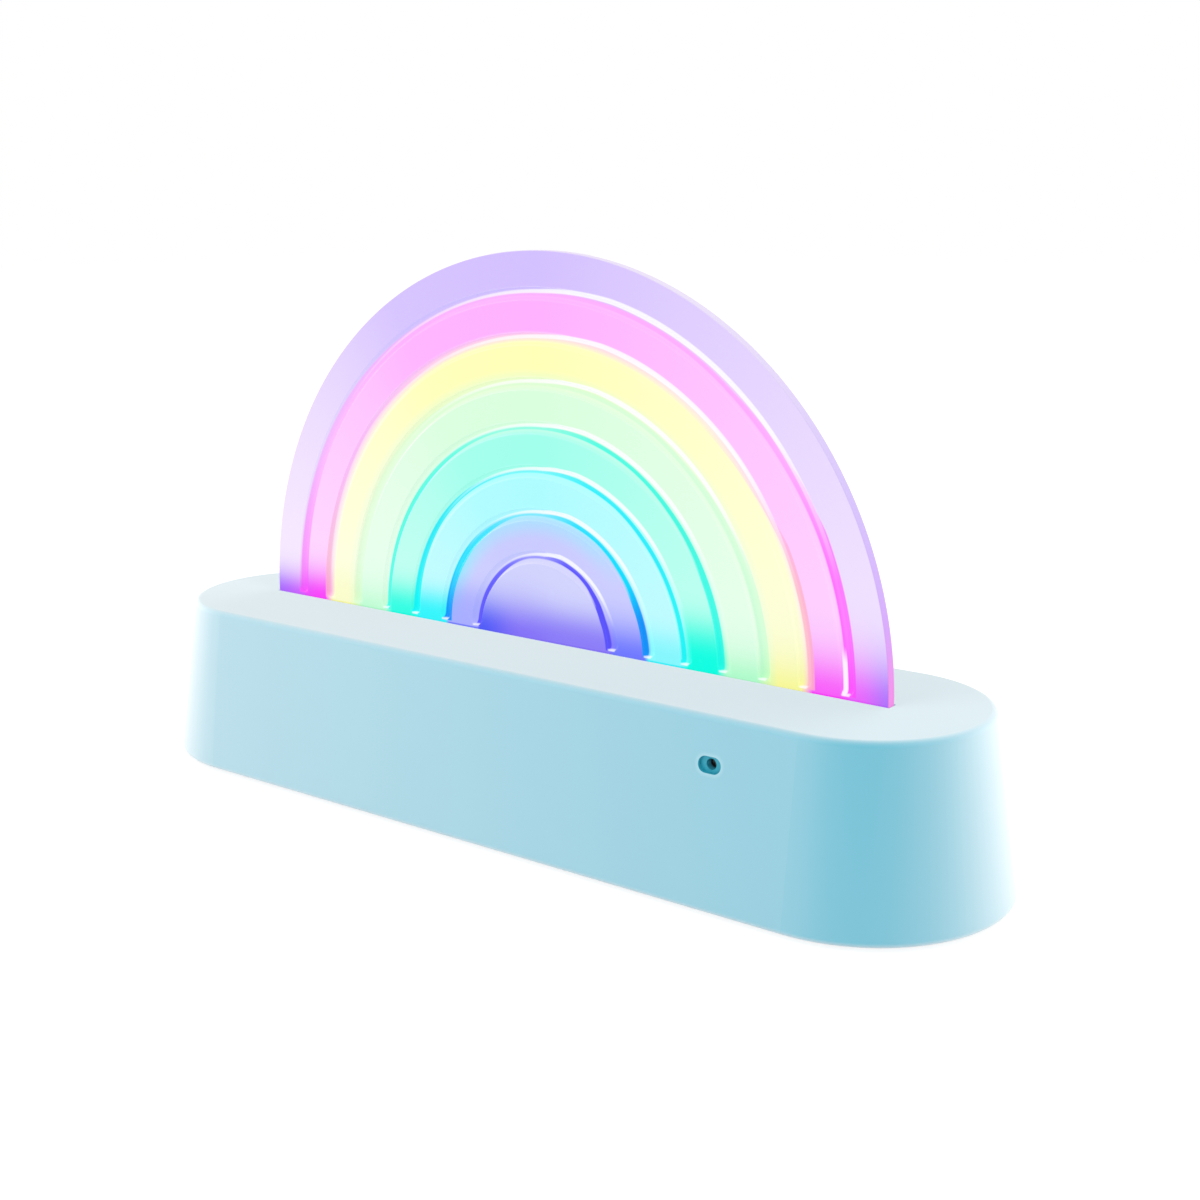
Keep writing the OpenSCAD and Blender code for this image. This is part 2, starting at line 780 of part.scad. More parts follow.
module main_board() {
    color("seagreen")
    difference() {
        translate([board_x0, -board_front, board_z]) cube([board_l, board_front + board_rear, board_t]);
        for (p = board_screw_spots())
            translate([p[0], p[1], board_z - cut])
                cylinder(d = fine_d + 2 * screw_gap, h = board_t + 2 * cut);
        translate([button_x - notch_half, notch_y, board_z - cut])
            cube([2 * notch_half, board_rear - notch_y + cut, board_t + 2 * cut]);
    }
}

module board_screws() {
    color("silver")
    for (p = board_screw_spots())
        translate([p[0], p[1], board_z]) small_screw();
}

// A chip with legs along its two long sides, centred on its footprint
module chip(l, legs) {
    translate([-l / 2, -chip_w / 2, chip_lift]) cube([l, chip_w, chip_h]);
    for (i = [0 : legs - 1])
        translate([(i - (legs - 1) / 2) * leg_pitch - leg_w / 2, -chip_w / 2 - leg_reach, 0])
            cube([leg_w, chip_w + 2 * leg_reach, chip_h / 2]);
}

module control_chip() {
    color("dimgray")
    translate([chip_x, 0, board_top]) chip(chip_l, chip_legs);
}

module charger_chip() {
    color("dimgray")
    translate([charger_x, charger_y, board_top]) chip(charger_l, charger_legs);
}

module power_coil() {
    color("dimgray")
    translate([coil_x, charger_y, board_top]) {
        translate([-coil_w / 2, -coil_w / 2, 0]) cube([coil_w, coil_w, coil_base]);
        cylinder(d = coil_d, h = coil_h);
    }
}

module board_capacitors() {
    color("silver")
    for (p = can_spots)
        translate([p[0], p[1], board_top]) {
            translate([-can_d / 2, -can_d / 2, 0]) cube([can_d, can_d, can_base]);
            cylinder(d = can_d, h = can_h);
        }
}

module usb_socket() {
    color("silver")
    difference() {
        union() {
            behind(usb_x, usb_back_y, usb_l) stadium((usb_w - usb_h) / 2, usb_h / 2);
            for (sx = [-1, 1])
                for (y = [usb_back_y + usb_leg, board_rear - 2 * usb_leg])
                    translate([usb_x + sx * usb_w / 2 - usb_skin, y, board_top])
                        cube([2 * usb_skin, usb_leg, port_z - board_top]);
        }
        behind(usb_x, usb_back_y - cut, usb_l + 2 * cut) stadium((usb_w - usb_h) / 2, usb_h / 2 - usb_skin);
    }
}

module usb_tongue() {
    color("dimgray")
    union() {
        behind(usb_x, usb_back_y, tongue_root) stadium((usb_w - usb_h) / 2, usb_h / 2 - usb_skin);
        translate([usb_x - tongue_w / 2, usb_back_y, port_z - tongue_t / 2])
            cube([tongue_w, usb_l - tongue_short, tongue_t]);
    }
}

module tact_switch() {
    color("dimgray")
    difference() {
        translate([button_x - switch_w / 2, switch_y - switch_l, board_top])
            cube([switch_w, switch_l, port_z - board_top + switch_over]);
        behind(button_x, plunger_back - button_travel - plunger_rest, switch_l)
            circle(r = plunger_r + plunger_gap);
    }
}

module switch_plunger() {
    color("gainsboro")
    behind(button_x, plunger_back, plunger_y - plunger_back) circle(r = plunger_r);
}

module mode_button() {
    color("white")
    difference() {
        union() {
            behind(button_x, plunger_y, button_face_y - plunger_y) circle(r = plunger_r + stem_wall);
            behind(button_x, flange_y, button_face_y - flange_y) circle(d = button_d);
            behind(button_x, flange_y, flange_t) circle(r = flange_r);
        }
        translate([button_x, button_face_y + dish_r - dish_d, port_z]) sphere(dish_r);
    }
}

module charge_led() {
    color("ivory")
    translate([bay_x - charge_w / 2, board_rear - charge_gap - charge_l, board_top])
        cube([charge_w, charge_l, port_z - board_top + charge_w / 2]);
}

module charge_light_pipe() {
    color("white")
    union() {
        behind(bay_x, board_rear, bay_y - board_rear) circle(d = pipe_d);
        behind(bay_x, board_rear, pad_y - board_rear) circle(r = pipe_d / 2 + pipe_rim);
    }
}

// A round bar along the cell's axis, from a distance x
module along_cell(x, r, l) {
    translate([x, 0, cell_z]) rotate([0, 90, 0]) cylinder(r = r, h = l);
}

module battery_cell() {
    color("steelblue")
    union() {
        along_cell(-cell_x0, cell_d / 2, cell_l);
        along_cell(-cell_x0, nub_r, cell_l + nub_l);
    }
}

module battery_strap() {
    in_r = cell_d / 2 + cell_gap;
    out_r = in_r + strap_t;
    low = post_z - cell_z;
    flange_half = strap_screw_y + fine_boss_r;
    color("white")
    difference() {
        translate([strap_x - strap_w / 2, 0, cell_z])
            rotate([90, 0, 90])
                linear_extrude(strap_w)
                    difference() {
                        union() {
                            circle(out_r);
                            translate([-out_r, low]) square([2 * out_r, -low]);
                            translate([-flange_half, low]) square([2 * flange_half, strap_t]);
                        }
                        circle(in_r);
                        translate([-in_r, low - cut]) square([2 * in_r, cut - low]);
                        translate([-2 * out_r, low - 2 * out_r]) square([4 * out_r, 2 * out_r]);
                    }
        for (side = [-1, 1])
            translate([strap_x, side * strap_screw_y, post_z - cut])
                cylinder(d = fine_d + 2 * screw_gap, h = strap_t + 2 * cut);
    }
}

module strap_screws() {
    color("silver")
    for (side = [-1, 1])
        translate([strap_x, side * strap_screw_y, post_z + strap_t])
            mirror([0, 0, 1]) small_screw();
}

module microphone_boot() {
    color("dimgray")
    difference() {
        along_mic(mic_floor_y + boot_l, boot_r, boot_l);
        along_mic(mic_floor_y + boot_l + cut, capsule_d / 2, capsule_l + cut);
        along_mic(mic_floor_y + boot_l, mic_hole_d / 2, boot_l + cut);
    }
}

module microphone_capsule() {
    color("silver")
    along_mic(mic_floor_y + boot_l, capsule_d / 2, capsule_l);
}

// Lead: a round tube swept along a smooth curve through the route's points
function unit(v) = v / norm(v);
function between(a, b, c, d, t) =
    0.5 * (2 * b + (c - a) * t + (2 * a - 5 * b + 4 * c - d) * t * t + (3 * b - a - 3 * c + d) * t * t * t);
function smooth(p, steps) = let (n = len(p) - 1) concat(
    [for (i = [0 : n - 1]) for (s = [0 : steps - 1])
        between(i == 0 ? 2 * p[0] - p[1] : p[i - 1], p[i], p[i + 1],
                i == n - 1 ? 2 * p[n] - p[n - 1] : p[i + 2], s / steps)],
    [p[n]]);
function heading(q, i) = unit(q[min(i + 1, len(q) - 1)] - q[max(i - 1, 0)]);

// The route's first and last stretch are straight, so that both ends lie flat on what they meet
module lead(route, r, side_on) {
    q = smooth(route, 3);
    n = len(q);
    last = len(route) - 1;
    sides = 8;
    points = [for (i = [0 : n - 1])
        let (t = i == 0 ? unit(route[1] - route[0])
               : i == n - 1 ? unit(route[last] - route[last - 1]) : heading(q, i),
             u = unit(cross(side_on, t)),
             v = cross(t, u))
        for (k = [0 : sides - 1]) q[i] + r * (cos(360 * k / sides) * u + sin(360 * k / sides) * v)];
    walls = [for (i = [0 : n - 2]) for (k = [0 : sides - 1])
        let (next = (k + 1) % sides)
        each [[i * sides + k, (i + 1) * sides + k, (i + 1) * sides + next],
              [i * sides + k, (i + 1) * sides + next, i * sides + next]]];
    polyhedron(points, concat([[for (k = [0 : sides - 1]) k]],
                              [[for (k = [sides - 1 : -1 : 0]) (n - 1) * sides + k]], walls));
}

module led_lead() {
    color("whitesmoke")
    lead(led_route, led_lead_d / 2, [0, 1, 0]);
}

module battery_lead() {
    color("crimson")
    lead(battery_route, battery_lead_d / 2, [0, 0, 1]);
}

module microphone_lead() {
    color("dimgray")
    lead(mic_route, mic_lead_d / 2, [1, 0, 0]);
}

base_housing();
bottom_cover();
cover_screws();
rubber_feet();
rainbow_plate();
plate_screws();
plate_cradle();
cradle_screws();
led_board();
rgb_leds();
led_board_screws();
led_socket();
led_lead();
main_board();
board_screws();
control_chip();
charger_chip();
power_coil();
board_capacitors();
led_header();
battery_header();
microphone_header();
usb_socket();
usb_tongue();
tact_switch();
switch_plunger();
mode_button();
charge_led();
charge_light_pipe();
battery_cell();
battery_strap();
strap_screws();
battery_plug();
battery_lead();
microphone_boot();
microphone_capsule();
microphone_lead();
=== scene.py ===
"""Looks of a rainbow lamp: a glowing, grooved half-disc plate in the slot of a long, round-ended base.

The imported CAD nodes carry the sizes. The plate is modelled again here with soft groove lips, and every
other node keeps its shape and gets its finish. A white studio with a pale floor stands round them.
"""

import json
import logging
import math
from collections.abc import Iterable, Sequence
from dataclasses import dataclass, field
from enum import Enum
from typing import NamedTuple

import bmesh
import bpy
from mathutils import Matrix, Vector

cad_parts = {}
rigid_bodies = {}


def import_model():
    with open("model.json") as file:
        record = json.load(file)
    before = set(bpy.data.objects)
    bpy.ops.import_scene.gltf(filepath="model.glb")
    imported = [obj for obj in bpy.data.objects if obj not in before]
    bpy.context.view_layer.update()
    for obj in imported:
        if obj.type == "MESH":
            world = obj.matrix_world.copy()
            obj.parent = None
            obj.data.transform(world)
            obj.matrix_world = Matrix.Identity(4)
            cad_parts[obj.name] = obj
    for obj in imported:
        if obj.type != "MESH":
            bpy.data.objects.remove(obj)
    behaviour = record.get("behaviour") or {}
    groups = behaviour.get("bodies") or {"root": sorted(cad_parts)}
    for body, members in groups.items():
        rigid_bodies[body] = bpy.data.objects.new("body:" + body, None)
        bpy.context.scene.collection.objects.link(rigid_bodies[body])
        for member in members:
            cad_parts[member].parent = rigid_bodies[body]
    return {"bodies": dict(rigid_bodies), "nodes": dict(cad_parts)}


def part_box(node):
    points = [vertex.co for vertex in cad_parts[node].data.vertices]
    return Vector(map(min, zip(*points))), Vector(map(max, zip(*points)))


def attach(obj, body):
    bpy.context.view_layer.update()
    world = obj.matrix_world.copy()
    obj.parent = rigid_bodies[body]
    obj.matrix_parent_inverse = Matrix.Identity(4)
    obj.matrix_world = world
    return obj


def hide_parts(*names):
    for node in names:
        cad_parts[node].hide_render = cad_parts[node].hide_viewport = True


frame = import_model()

logging.basicConfig(level=logging.INFO, format="%(message)s")
log = logging.getLogger("rainbow_lamp")

MM = 0.001
ACRYLIC_IOR = 1.49

Colour = tuple[float, float, float, float]
Point = tuple[float, float]
Triple = tuple[float, float, float]
Node = bpy.types.Node
Socket = bpy.types.NodeSocket
Sockets = dict[str, Socket]
Source = Socket | float | tuple
Feeds = dict[str | int, Source]
Row = Sequence[bmesh.types.BMVert]


def linear(code: str) -> Colour:
    """Turns a screen colour into the linear values that shaders use.

    Args:
        code: Six hexadecimal digits after a hash sign.

    Returns:
        Red, green, blue and an alpha of one.
    """
    parts = [int(code[i:i + 2], 16) / 255 for i in (1, 3, 5)]
    red, green, blue = [p / 12.92 if p <= 0.04045 else ((p + 0.055) / 1.055) ** 2.4 for p in parts]
    return red, green, blue, 1.0


def grey(level: float) -> Colour:
    """Returns a grey of one linear level."""
    return level, level, level, 1.0


BLACK = grey(0.0)
WHITE = grey(1.0)


class Ease(Enum):
    """How a ramp runs from one stop to the next."""

    EVEN = "LINEAR"
    STEP = "CONSTANT"


class Graph:
    """Short calls that add nodes to one tree and join them."""

    def __init__(self, tree: bpy.types.NodeTree) -> None:
        """Keeps the tree that the nodes go into."""
        self.tree = tree

    @classmethod
    def emptied(cls, owner: bpy.types.Material | bpy.types.World) -> "Graph":
        """Returns the graph of a material or world, with nothing in it yet."""
        owner.use_nodes = True
        owner.node_tree.nodes.clear()
        return cls(owner.node_tree)

    def add(self, kind: str, feeds: Feeds | None = None, **settings: object) -> Node:
        """Adds one node.

        Args:
            kind: Blender's name of the node.
            feeds: Sockets or plain values for its inputs, each under the input's name or number.
            settings: Properties of the node and their values.

        Returns:
            The new node.
        """
        node = self.tree.nodes.new(kind)
        for name, value in settings.items():
            setattr(node, name, value)
        for name, value in (feeds or {}).items():
            if isinstance(value, Socket):
                self.tree.links.new(value, node.inputs[name])
            else:
                node.inputs[name].default_value = value
        return node

    def math(self, operation: str, *terms: Source) -> Socket:
        """Adds an operation on numbers, by Blender's name of it."""
        return self.add("ShaderNodeMath", dict(enumerate(terms)), operation=operation).outputs[0]

    def plus(self, one: Source, two: Source) -> Socket:
        """Adds two terms up."""
        return self.math("ADD", one, two)

    def minus(self, one: Source, two: Source) -> Socket:
        """Takes the second term from the first."""
        return self.math("SUBTRACT", one, two)

    def over(self, one: Source, two: Source) -> Socket:
        """Divides the first term by the second."""
        return self.math("DIVIDE", one, two)

    def product(self, first: Source, *others: Source) -> Socket:
        """Multiplies two or more terms."""
        for other in others:
            first = self.math("MULTIPLY", first, other)
        return first

    def length(self, one: Source, two: Source) -> Socket:
        """Returns the length of a line with these two parts."""
        return self.math("SQRT", self.plus(self.product(one, one), self.product(two, two)))

    def rise(self, value: Source, low: Source, high: Source) -> Socket:
        """Adds a soft step from zero at low to one at high, which falls where high is under low."""
        feeds = {"Value": value, "From Min": low, "From Max": high}
        return self.add("ShaderNodeMapRange", feeds, interpolation_type="SMOOTHSTEP").outputs["Result"]

    def near(self, value: Source, middle: Source, half: float, soft: float) -> Socket:
        """Adds a mask: one up to half its width from the middle, then fading over the soft width."""
        return self.rise(self.math("ABSOLUTE", self.minus(value, middle)), half + soft, half)

    def mix(self, share: Source, below: Source, above: Source) -> Socket:
        """Mixes two colours; the share is that of the second."""
        return self.add("ShaderNodeMix", {0: share, 6: below, 7: above}, data_type="RGBA").outputs[2]

    def scaled(self, colour: Source, factor: Source) -> Socket:
        """Multiplies a colour by a number."""
        return self.add("ShaderNodeVectorMath", {0: colour, "Scale": factor}, operation="SCALE").outputs[0]

    def ramp(self, place: Source, stops: Sequence[tuple[float, Colour]], ease: Ease = Ease.EVEN) -> Node:
        """Adds a ramp of colours.

        Args:
            place: Where on the ramp, from zero to one.
            stops: Places and their colours, in order.
            ease: How the ramp runs between stops.

        Returns:
            The ramp's node.
        """
        node = self.add("ShaderNodeValToRGB", {"Fac": place})
        scale = node.color_ramp
        scale.interpolation = ease.value
        scale.elements.remove(scale.elements[1])
        scale.elements[0].position, scale.elements[0].color = stops[0]
        for position, colour in stops[1:]:
            scale.elements.new(position).color = colour
        return node

    def profile(self, place: Source, stops: Sequence[Point]) -> Socket:
        """Adds a curve of numbers.

        Args:
            place: Where on the curve, from zero to one.
            stops: Places and their levels, in order.

        Returns:
            The level there.
        """
        low = min(level for _, level in stops)
        span = max(level for _, level in stops) - low
        curve = self.ramp(place, [(at, grey((level - low) / span)) for at, level in stops])
        return self.math("MULTIPLY_ADD", curve.outputs["Color"], span, low)

    def here(self) -> Socket:
        """Adds the shaded point's place in the object's own space."""
        return self.add("ShaderNodeTexCoord").outputs["Object"]

    def parts(self) -> Sequence[Socket]:
        """Adds the same place as X, Y and Z."""
        return self.add("ShaderNodeSeparateXYZ", {0: self.here()}).outputs

    def codes(self, colour: Source) -> Sequence[Socket]:
        """Adds the three numbers that a ramp carries as a colour."""
        return self.add("ShaderNodeSeparateColor", {0: colour}).outputs

    def noise(self, size: Source, detail: float = 2.0, stretch: Triple = (1.0, 1.0, 1.0)) -> Socket:
        """Adds noise in the object's own space.

        Args:
            size: Rough size of a blotch in metres.
            detail: How many finer layers lie on it.
            stretch: Factors along the axes that pack the noise more tightly.

        Returns:
            The noise, about one half on average.
        """
        place = self.add("ShaderNodeMapping", {"Vector": self.here(), "Scale": stretch}).outputs["Vector"]
        feeds = {"Vector": place, "Scale": self.over(1.0, size), "Detail": detail}
        return self.add("ShaderNodeTexNoise", feeds).outputs["Fac"]


class SharedEffect:
    """A shader node group that is built once and placed with its own values in each material."""

    title: str = ""
    takes: dict[str, Source] = {}
    gives: dict[str, type] = {}

    @classmethod
    def lay(cls, graph: Graph, given: Sockets) -> Sockets:
        """Lays the group's nodes.

        Args:
            graph: The group's own graph.
            given: The group's inputs by name.

        Returns:
            What goes to each output.
        """
        raise NotImplementedError

    @classmethod
    def group(cls) -> bpy.types.NodeTree:
        """Returns the group, which the first call builds."""
        found = bpy.data.node_groups.get(cls.title)
        if found:
            return found
        tree = bpy.data.node_groups.new(cls.title, "ShaderNodeTree")
        for name, value in cls.takes.items():
            kind = "NodeSocketColor" if isinstance(value, tuple) else "NodeSocketFloat"
            tree.interface.new_socket(name=name, in_out="INPUT", socket_type=kind).default_value = value
        for name, sort in cls.gives.items():
            kind = "NodeSocketColor" if sort is tuple else "NodeSocketFloat"
            tree.interface.new_socket(name=name, in_out="OUTPUT", socket_type=kind)
        graph = Graph(tree)
        entry = graph.add("NodeGroupInput")
        graph.add("NodeGroupOutput", cls.lay(graph, {name: entry.outputs[name] for name in cls.takes}))
        return tree

    @classmethod
    def place(cls, graph: Graph, **values: Source) -> Sockets:
        """Places the group in a material.

        Args:
            graph: The material's graph.
            values: Inputs by name, with an underscore for each space.

        Returns:
            The group's outputs by name.
        """
        feeds = {name.replace("_", " ").title(): value for name, value in values.items()}
        node = graph.add("ShaderNodeGroup", feeds, node_tree=cls.group())
        return {name: node.outputs[name] for name in cls.gives}


class MouldedGrain(SharedEffect):
    """The small unevenness of a moulded surface, in tone, gloss and height."""

    title = "moulded_grain"
    takes = {"Colour": WHITE, "Mottle": 0.03, "Roughness": 0.4, "Spread": 0.05, "Grain": 0.0004}
    gives = {"Colour": tuple, "Roughness": float, "Height": float}

    mottle_size = 25 * MM
    gloss_size = 6 * MM

    @classmethod
    def lay(cls, graph: Graph, given: Sockets) -> Sockets:
        """Lays a slow mottle, a middling change of gloss and a fine grain; see the base class."""
        slow = graph.minus(graph.noise(cls.mottle_size, 3.0), 0.5)
        middling = graph.minus(graph.noise(cls.gloss_size, 4.0), 0.5)
        tone = graph.math("MULTIPLY_ADD", slow, given["Mottle"], 1.0)
        gloss = graph.math("MULTIPLY_ADD", middling, given["Spread"], given["Roughness"])
        fine = graph.noise(given["Grain"])
        return {"Colour": graph.scaled(given["Colour"], tone), "Roughness": gloss, "Height": fine}


class EdgeWearAndHighlight(SharedEffect):
    """A surface whose sharp edges turn to another colour in broken patches: wear, and on the pale base a
    painted edge highlight.
    """

    title = "edge_wear"
    takes = {"Colour": WHITE, "Worn": WHITE, "Reach": 0.0004, "Amount": 0.3}
    gives = {"Colour": tuple}

    samples = 4
    turned = (0.995, 0.85)
    patch_size, patches = 0.8 * MM, (0.35, 0.65)

    @classmethod
    def lay(cls, graph: Graph, given: Sockets) -> Sockets:
        """Finds edges where a rounded normal leaves the true one; see the base class."""
        rounded = graph.add("ShaderNodeBevel", {"Radius": given["Reach"]}, samples=cls.samples)
        feeds = {0: rounded.outputs[0], 1: graph.add("ShaderNodeNewGeometry").outputs["Normal"]}
        turn = graph.add("ShaderNodeVectorMath", feeds, operation="DOT_PRODUCT")
        edge = graph.rise(turn.outputs["Value"], *cls.turned)
        broken = graph.rise(graph.noise(cls.patch_size, 4.0), *cls.patches)
        share = graph.product(edge, broken, given["Amount"])
        return {"Colour": graph.mix(share, given["Colour"], given["Worn"])}


class PortShadeAndHighlight(SharedEffect):
    """Painted shade: a deeper tone inside a small recess with round ends, and a painted highlight: a paler
    one on the skin just round it.
    """

    title = "port_recess"
    takes = {"Colour": WHITE, "Deep": WHITE, "Pale": WHITE, "Middle X": 0.06, "Middle Z": 0.03,
             "Straight": 0.001, "Radius": 0.0017}
    gives = {"Colour": tuple}

    halo_edge = (1.0, 0.05)
    halo_share = 0.25
    deep_edge = (0.04, 0.02)

    @classmethod
    def lay(cls, graph: Graph, given: Sockets) -> Sockets:
        """Measures how far a point is from the recess's middle line; see the base class."""
        x, y, z = graph.parts()
        along = graph.math("ABSOLUTE", graph.minus(x, given["Middle X"]))
        along = graph.math("MAXIMUM", graph.minus(along, given["Straight"]), 0.0)
        away = graph.length(along, graph.minus(z, given["Middle Z"]))
        past = graph.over(graph.minus(away, given["Radius"]), MM)
        front = graph.math("LESS_THAN", y, 0.0)
        # Painted highlight: a paler ring on the skin round the recess.
        halo = graph.product(graph.rise(past, *cls.halo_edge), front, cls.halo_share)
        # Painted shade: a deeper tone inside the recess.
        inside = graph.product(graph.rise(past, *cls.deep_edge), front)
        colour = graph.mix(halo, given["Colour"], given["Pale"])
        return {"Colour": graph.mix(inside, colour, given["Deep"])}


class BrushedStreaks(SharedEffect):
    """Fine streaks along X, left by drawing or brushing metal."""

    title = "brushed_streaks"
    takes = {"Roughness": 0.3, "Spread": 0.15}
    gives = {"Roughness": float, "Height": float}

    streak_size, stretch = 0.15 * MM, (0.05, 1.0, 1.0)

    @classmethod
    def lay(cls, graph: Graph, given: Sockets) -> Sockets:
        """Stretches a fine noise along X; see the base class."""
        streak = graph.noise(cls.streak_size, stretch=cls.stretch)
        gloss = graph.math("MULTIPLY_ADD", graph.minus(streak, 0.5), given["Spread"], given["Roughness"])
        return {"Roughness": gloss, "Height": streak}


class FootLight(NamedTuple):
    """How the light at a band's foot fades on its way up: reach in millimetres, steepness and strength."""

    reach: float
    steep: float
    strength: float

    most_reach = 12.0
    most_steep = 4.0

    @property
    def code(self) -> Colour:
        """The three numbers as parts of a colour, for a ramp."""
        return self.reach / self.most_reach, self.steep / self.most_steep, self.strength, 1.0


class FlankLine(NamedTuple):
    """How a seam's line runs on one flank: lean inward and added half width in millimetres, and strength."""

    lean: float
    wide: float
    strength: float

    middle = 0.5
    lean_span = 8.0
    wide_span = 2.0

    @property
    def code(self) -> Colour:
        """The three numbers as parts of a colour, for a ramp."""
        lean, wide = self.lean / self.lean_span, self.wide / self.wide_span
        return lean + self.middle, wide + self.middle, self.strength, 1.0


class Stripe(Enum):
    """Stripes of the rainbow: two colours, a share, and what lies on the right and the left side."""

    @property
    def low(self) -> Colour:
        """The colour at the feet."""
        return linear(self.value[0])

    @property
    def high(self) -> Colour:
        """The colour away from the feet, with the share as its alpha."""
        red, green, blue, _ = linear(self.value[1])
        return red, green, blue, self.value[2]

    @property
    def right(self) -> Colour:
        """What lies on the right, for a ramp."""
        return self.value[3].code

    @property
    def left(self) -> Colour:
        """What lies on the left, for a ramp."""
        return self.value[4].code


class Band(Stripe):
    """The colour bands from the outside in; the share says how far a band pales on its flanks."""

    LAVENDER = ("#EC58FC", "#CFBCFD", 0.80, FootLight(10.4, 2.0, 0.95), FootLight(6.1, 2.0, 1.00))
    PINK = ("#FB40F8", "#FEADFE", 0.55, FootLight(9.5, 2.1, 0.90), FootLight(7.9, 2.3, 1.00))
    YELLOW = ("#FAF898", "#FDFCB4", 0.50, FootLight(7.2, 1.5, 1.00), FootLight(8.3, 3.0, 0.35))
    GREEN = ("#B0FBC9", "#D6FDDA", 0.45, FootLight(6.1, 1.6, 1.00), FootLight(6.0, 1.5, 0.75))
    MINT = ("#00FCE0", "#9EFEE8", 0.32, FootLight(12.0, 4.0, 1.00), FootLight(8.3, 3.0, 0.95))
    CYAN = ("#30F4FA", "#ACF9FF", 0.25, FootLight(7.5, 3.0, 0.60), FootLight(7.9, 3.4, 1.00))
    BLUE = ("#7078FE", "#C9C8FE", 0.15, FootLight(8.2, 2.1, 1.00), FootLight(10.4, 4.0, 0.50))
    INDIGO = ("#8470F6", "#D2D2FB", 0.05, FootLight(8.2, 2.9, 0.92), FootLight(8.8, 2.3, 1.00))


class Seam(Stripe):
    """The bright lines in the grooves from the outside in; the share is a line's strength over the crown."""

    LAVENDER_PINK = ("#FF48FA", "#FDA4FC", 0.85, FlankLine(-1.6, 1.0, 0.82), FlankLine(0.1, 0.8, 0.65))
    PINK_YELLOW = ("#FFB0C0", "#FFB0F8", 0.10, FlankLine(-2.3, 0.7, 0.78), FlankLine(-1.4, -0.4, 0.60))
    YELLOW_GREEN = ("#98F8C0", "#A8F4C8", 0.35, FlankLine(-0.9, 0.6, 0.36), FlankLine(-0.2, 0.5, 0.22))
    GREEN_MINT = ("#00F8E4", "#10F4DC", 0.90, FlankLine(0.0, 0.1, 0.90), FlankLine(0.3, 0.1, 0.90))
    MINT_CYAN = ("#00F4F6", "#00EAF6", 0.95, FlankLine(-0.1, 0.0, 0.95), FlankLine(-0.5, 0.0, 0.95))
    CYAN_BLUE = ("#0890F8", "#00DCFC", 1.00, FlankLine(0.1, 0.1, 1.00), FlankLine(0.5, 0.6, 1.00))
    BLUE_INDIGO = ("#5850F8", "#5850F8", 1.00, FlankLine(0.4, 0.1, 1.00), FlankLine(0.4, 0.1, 1.00))


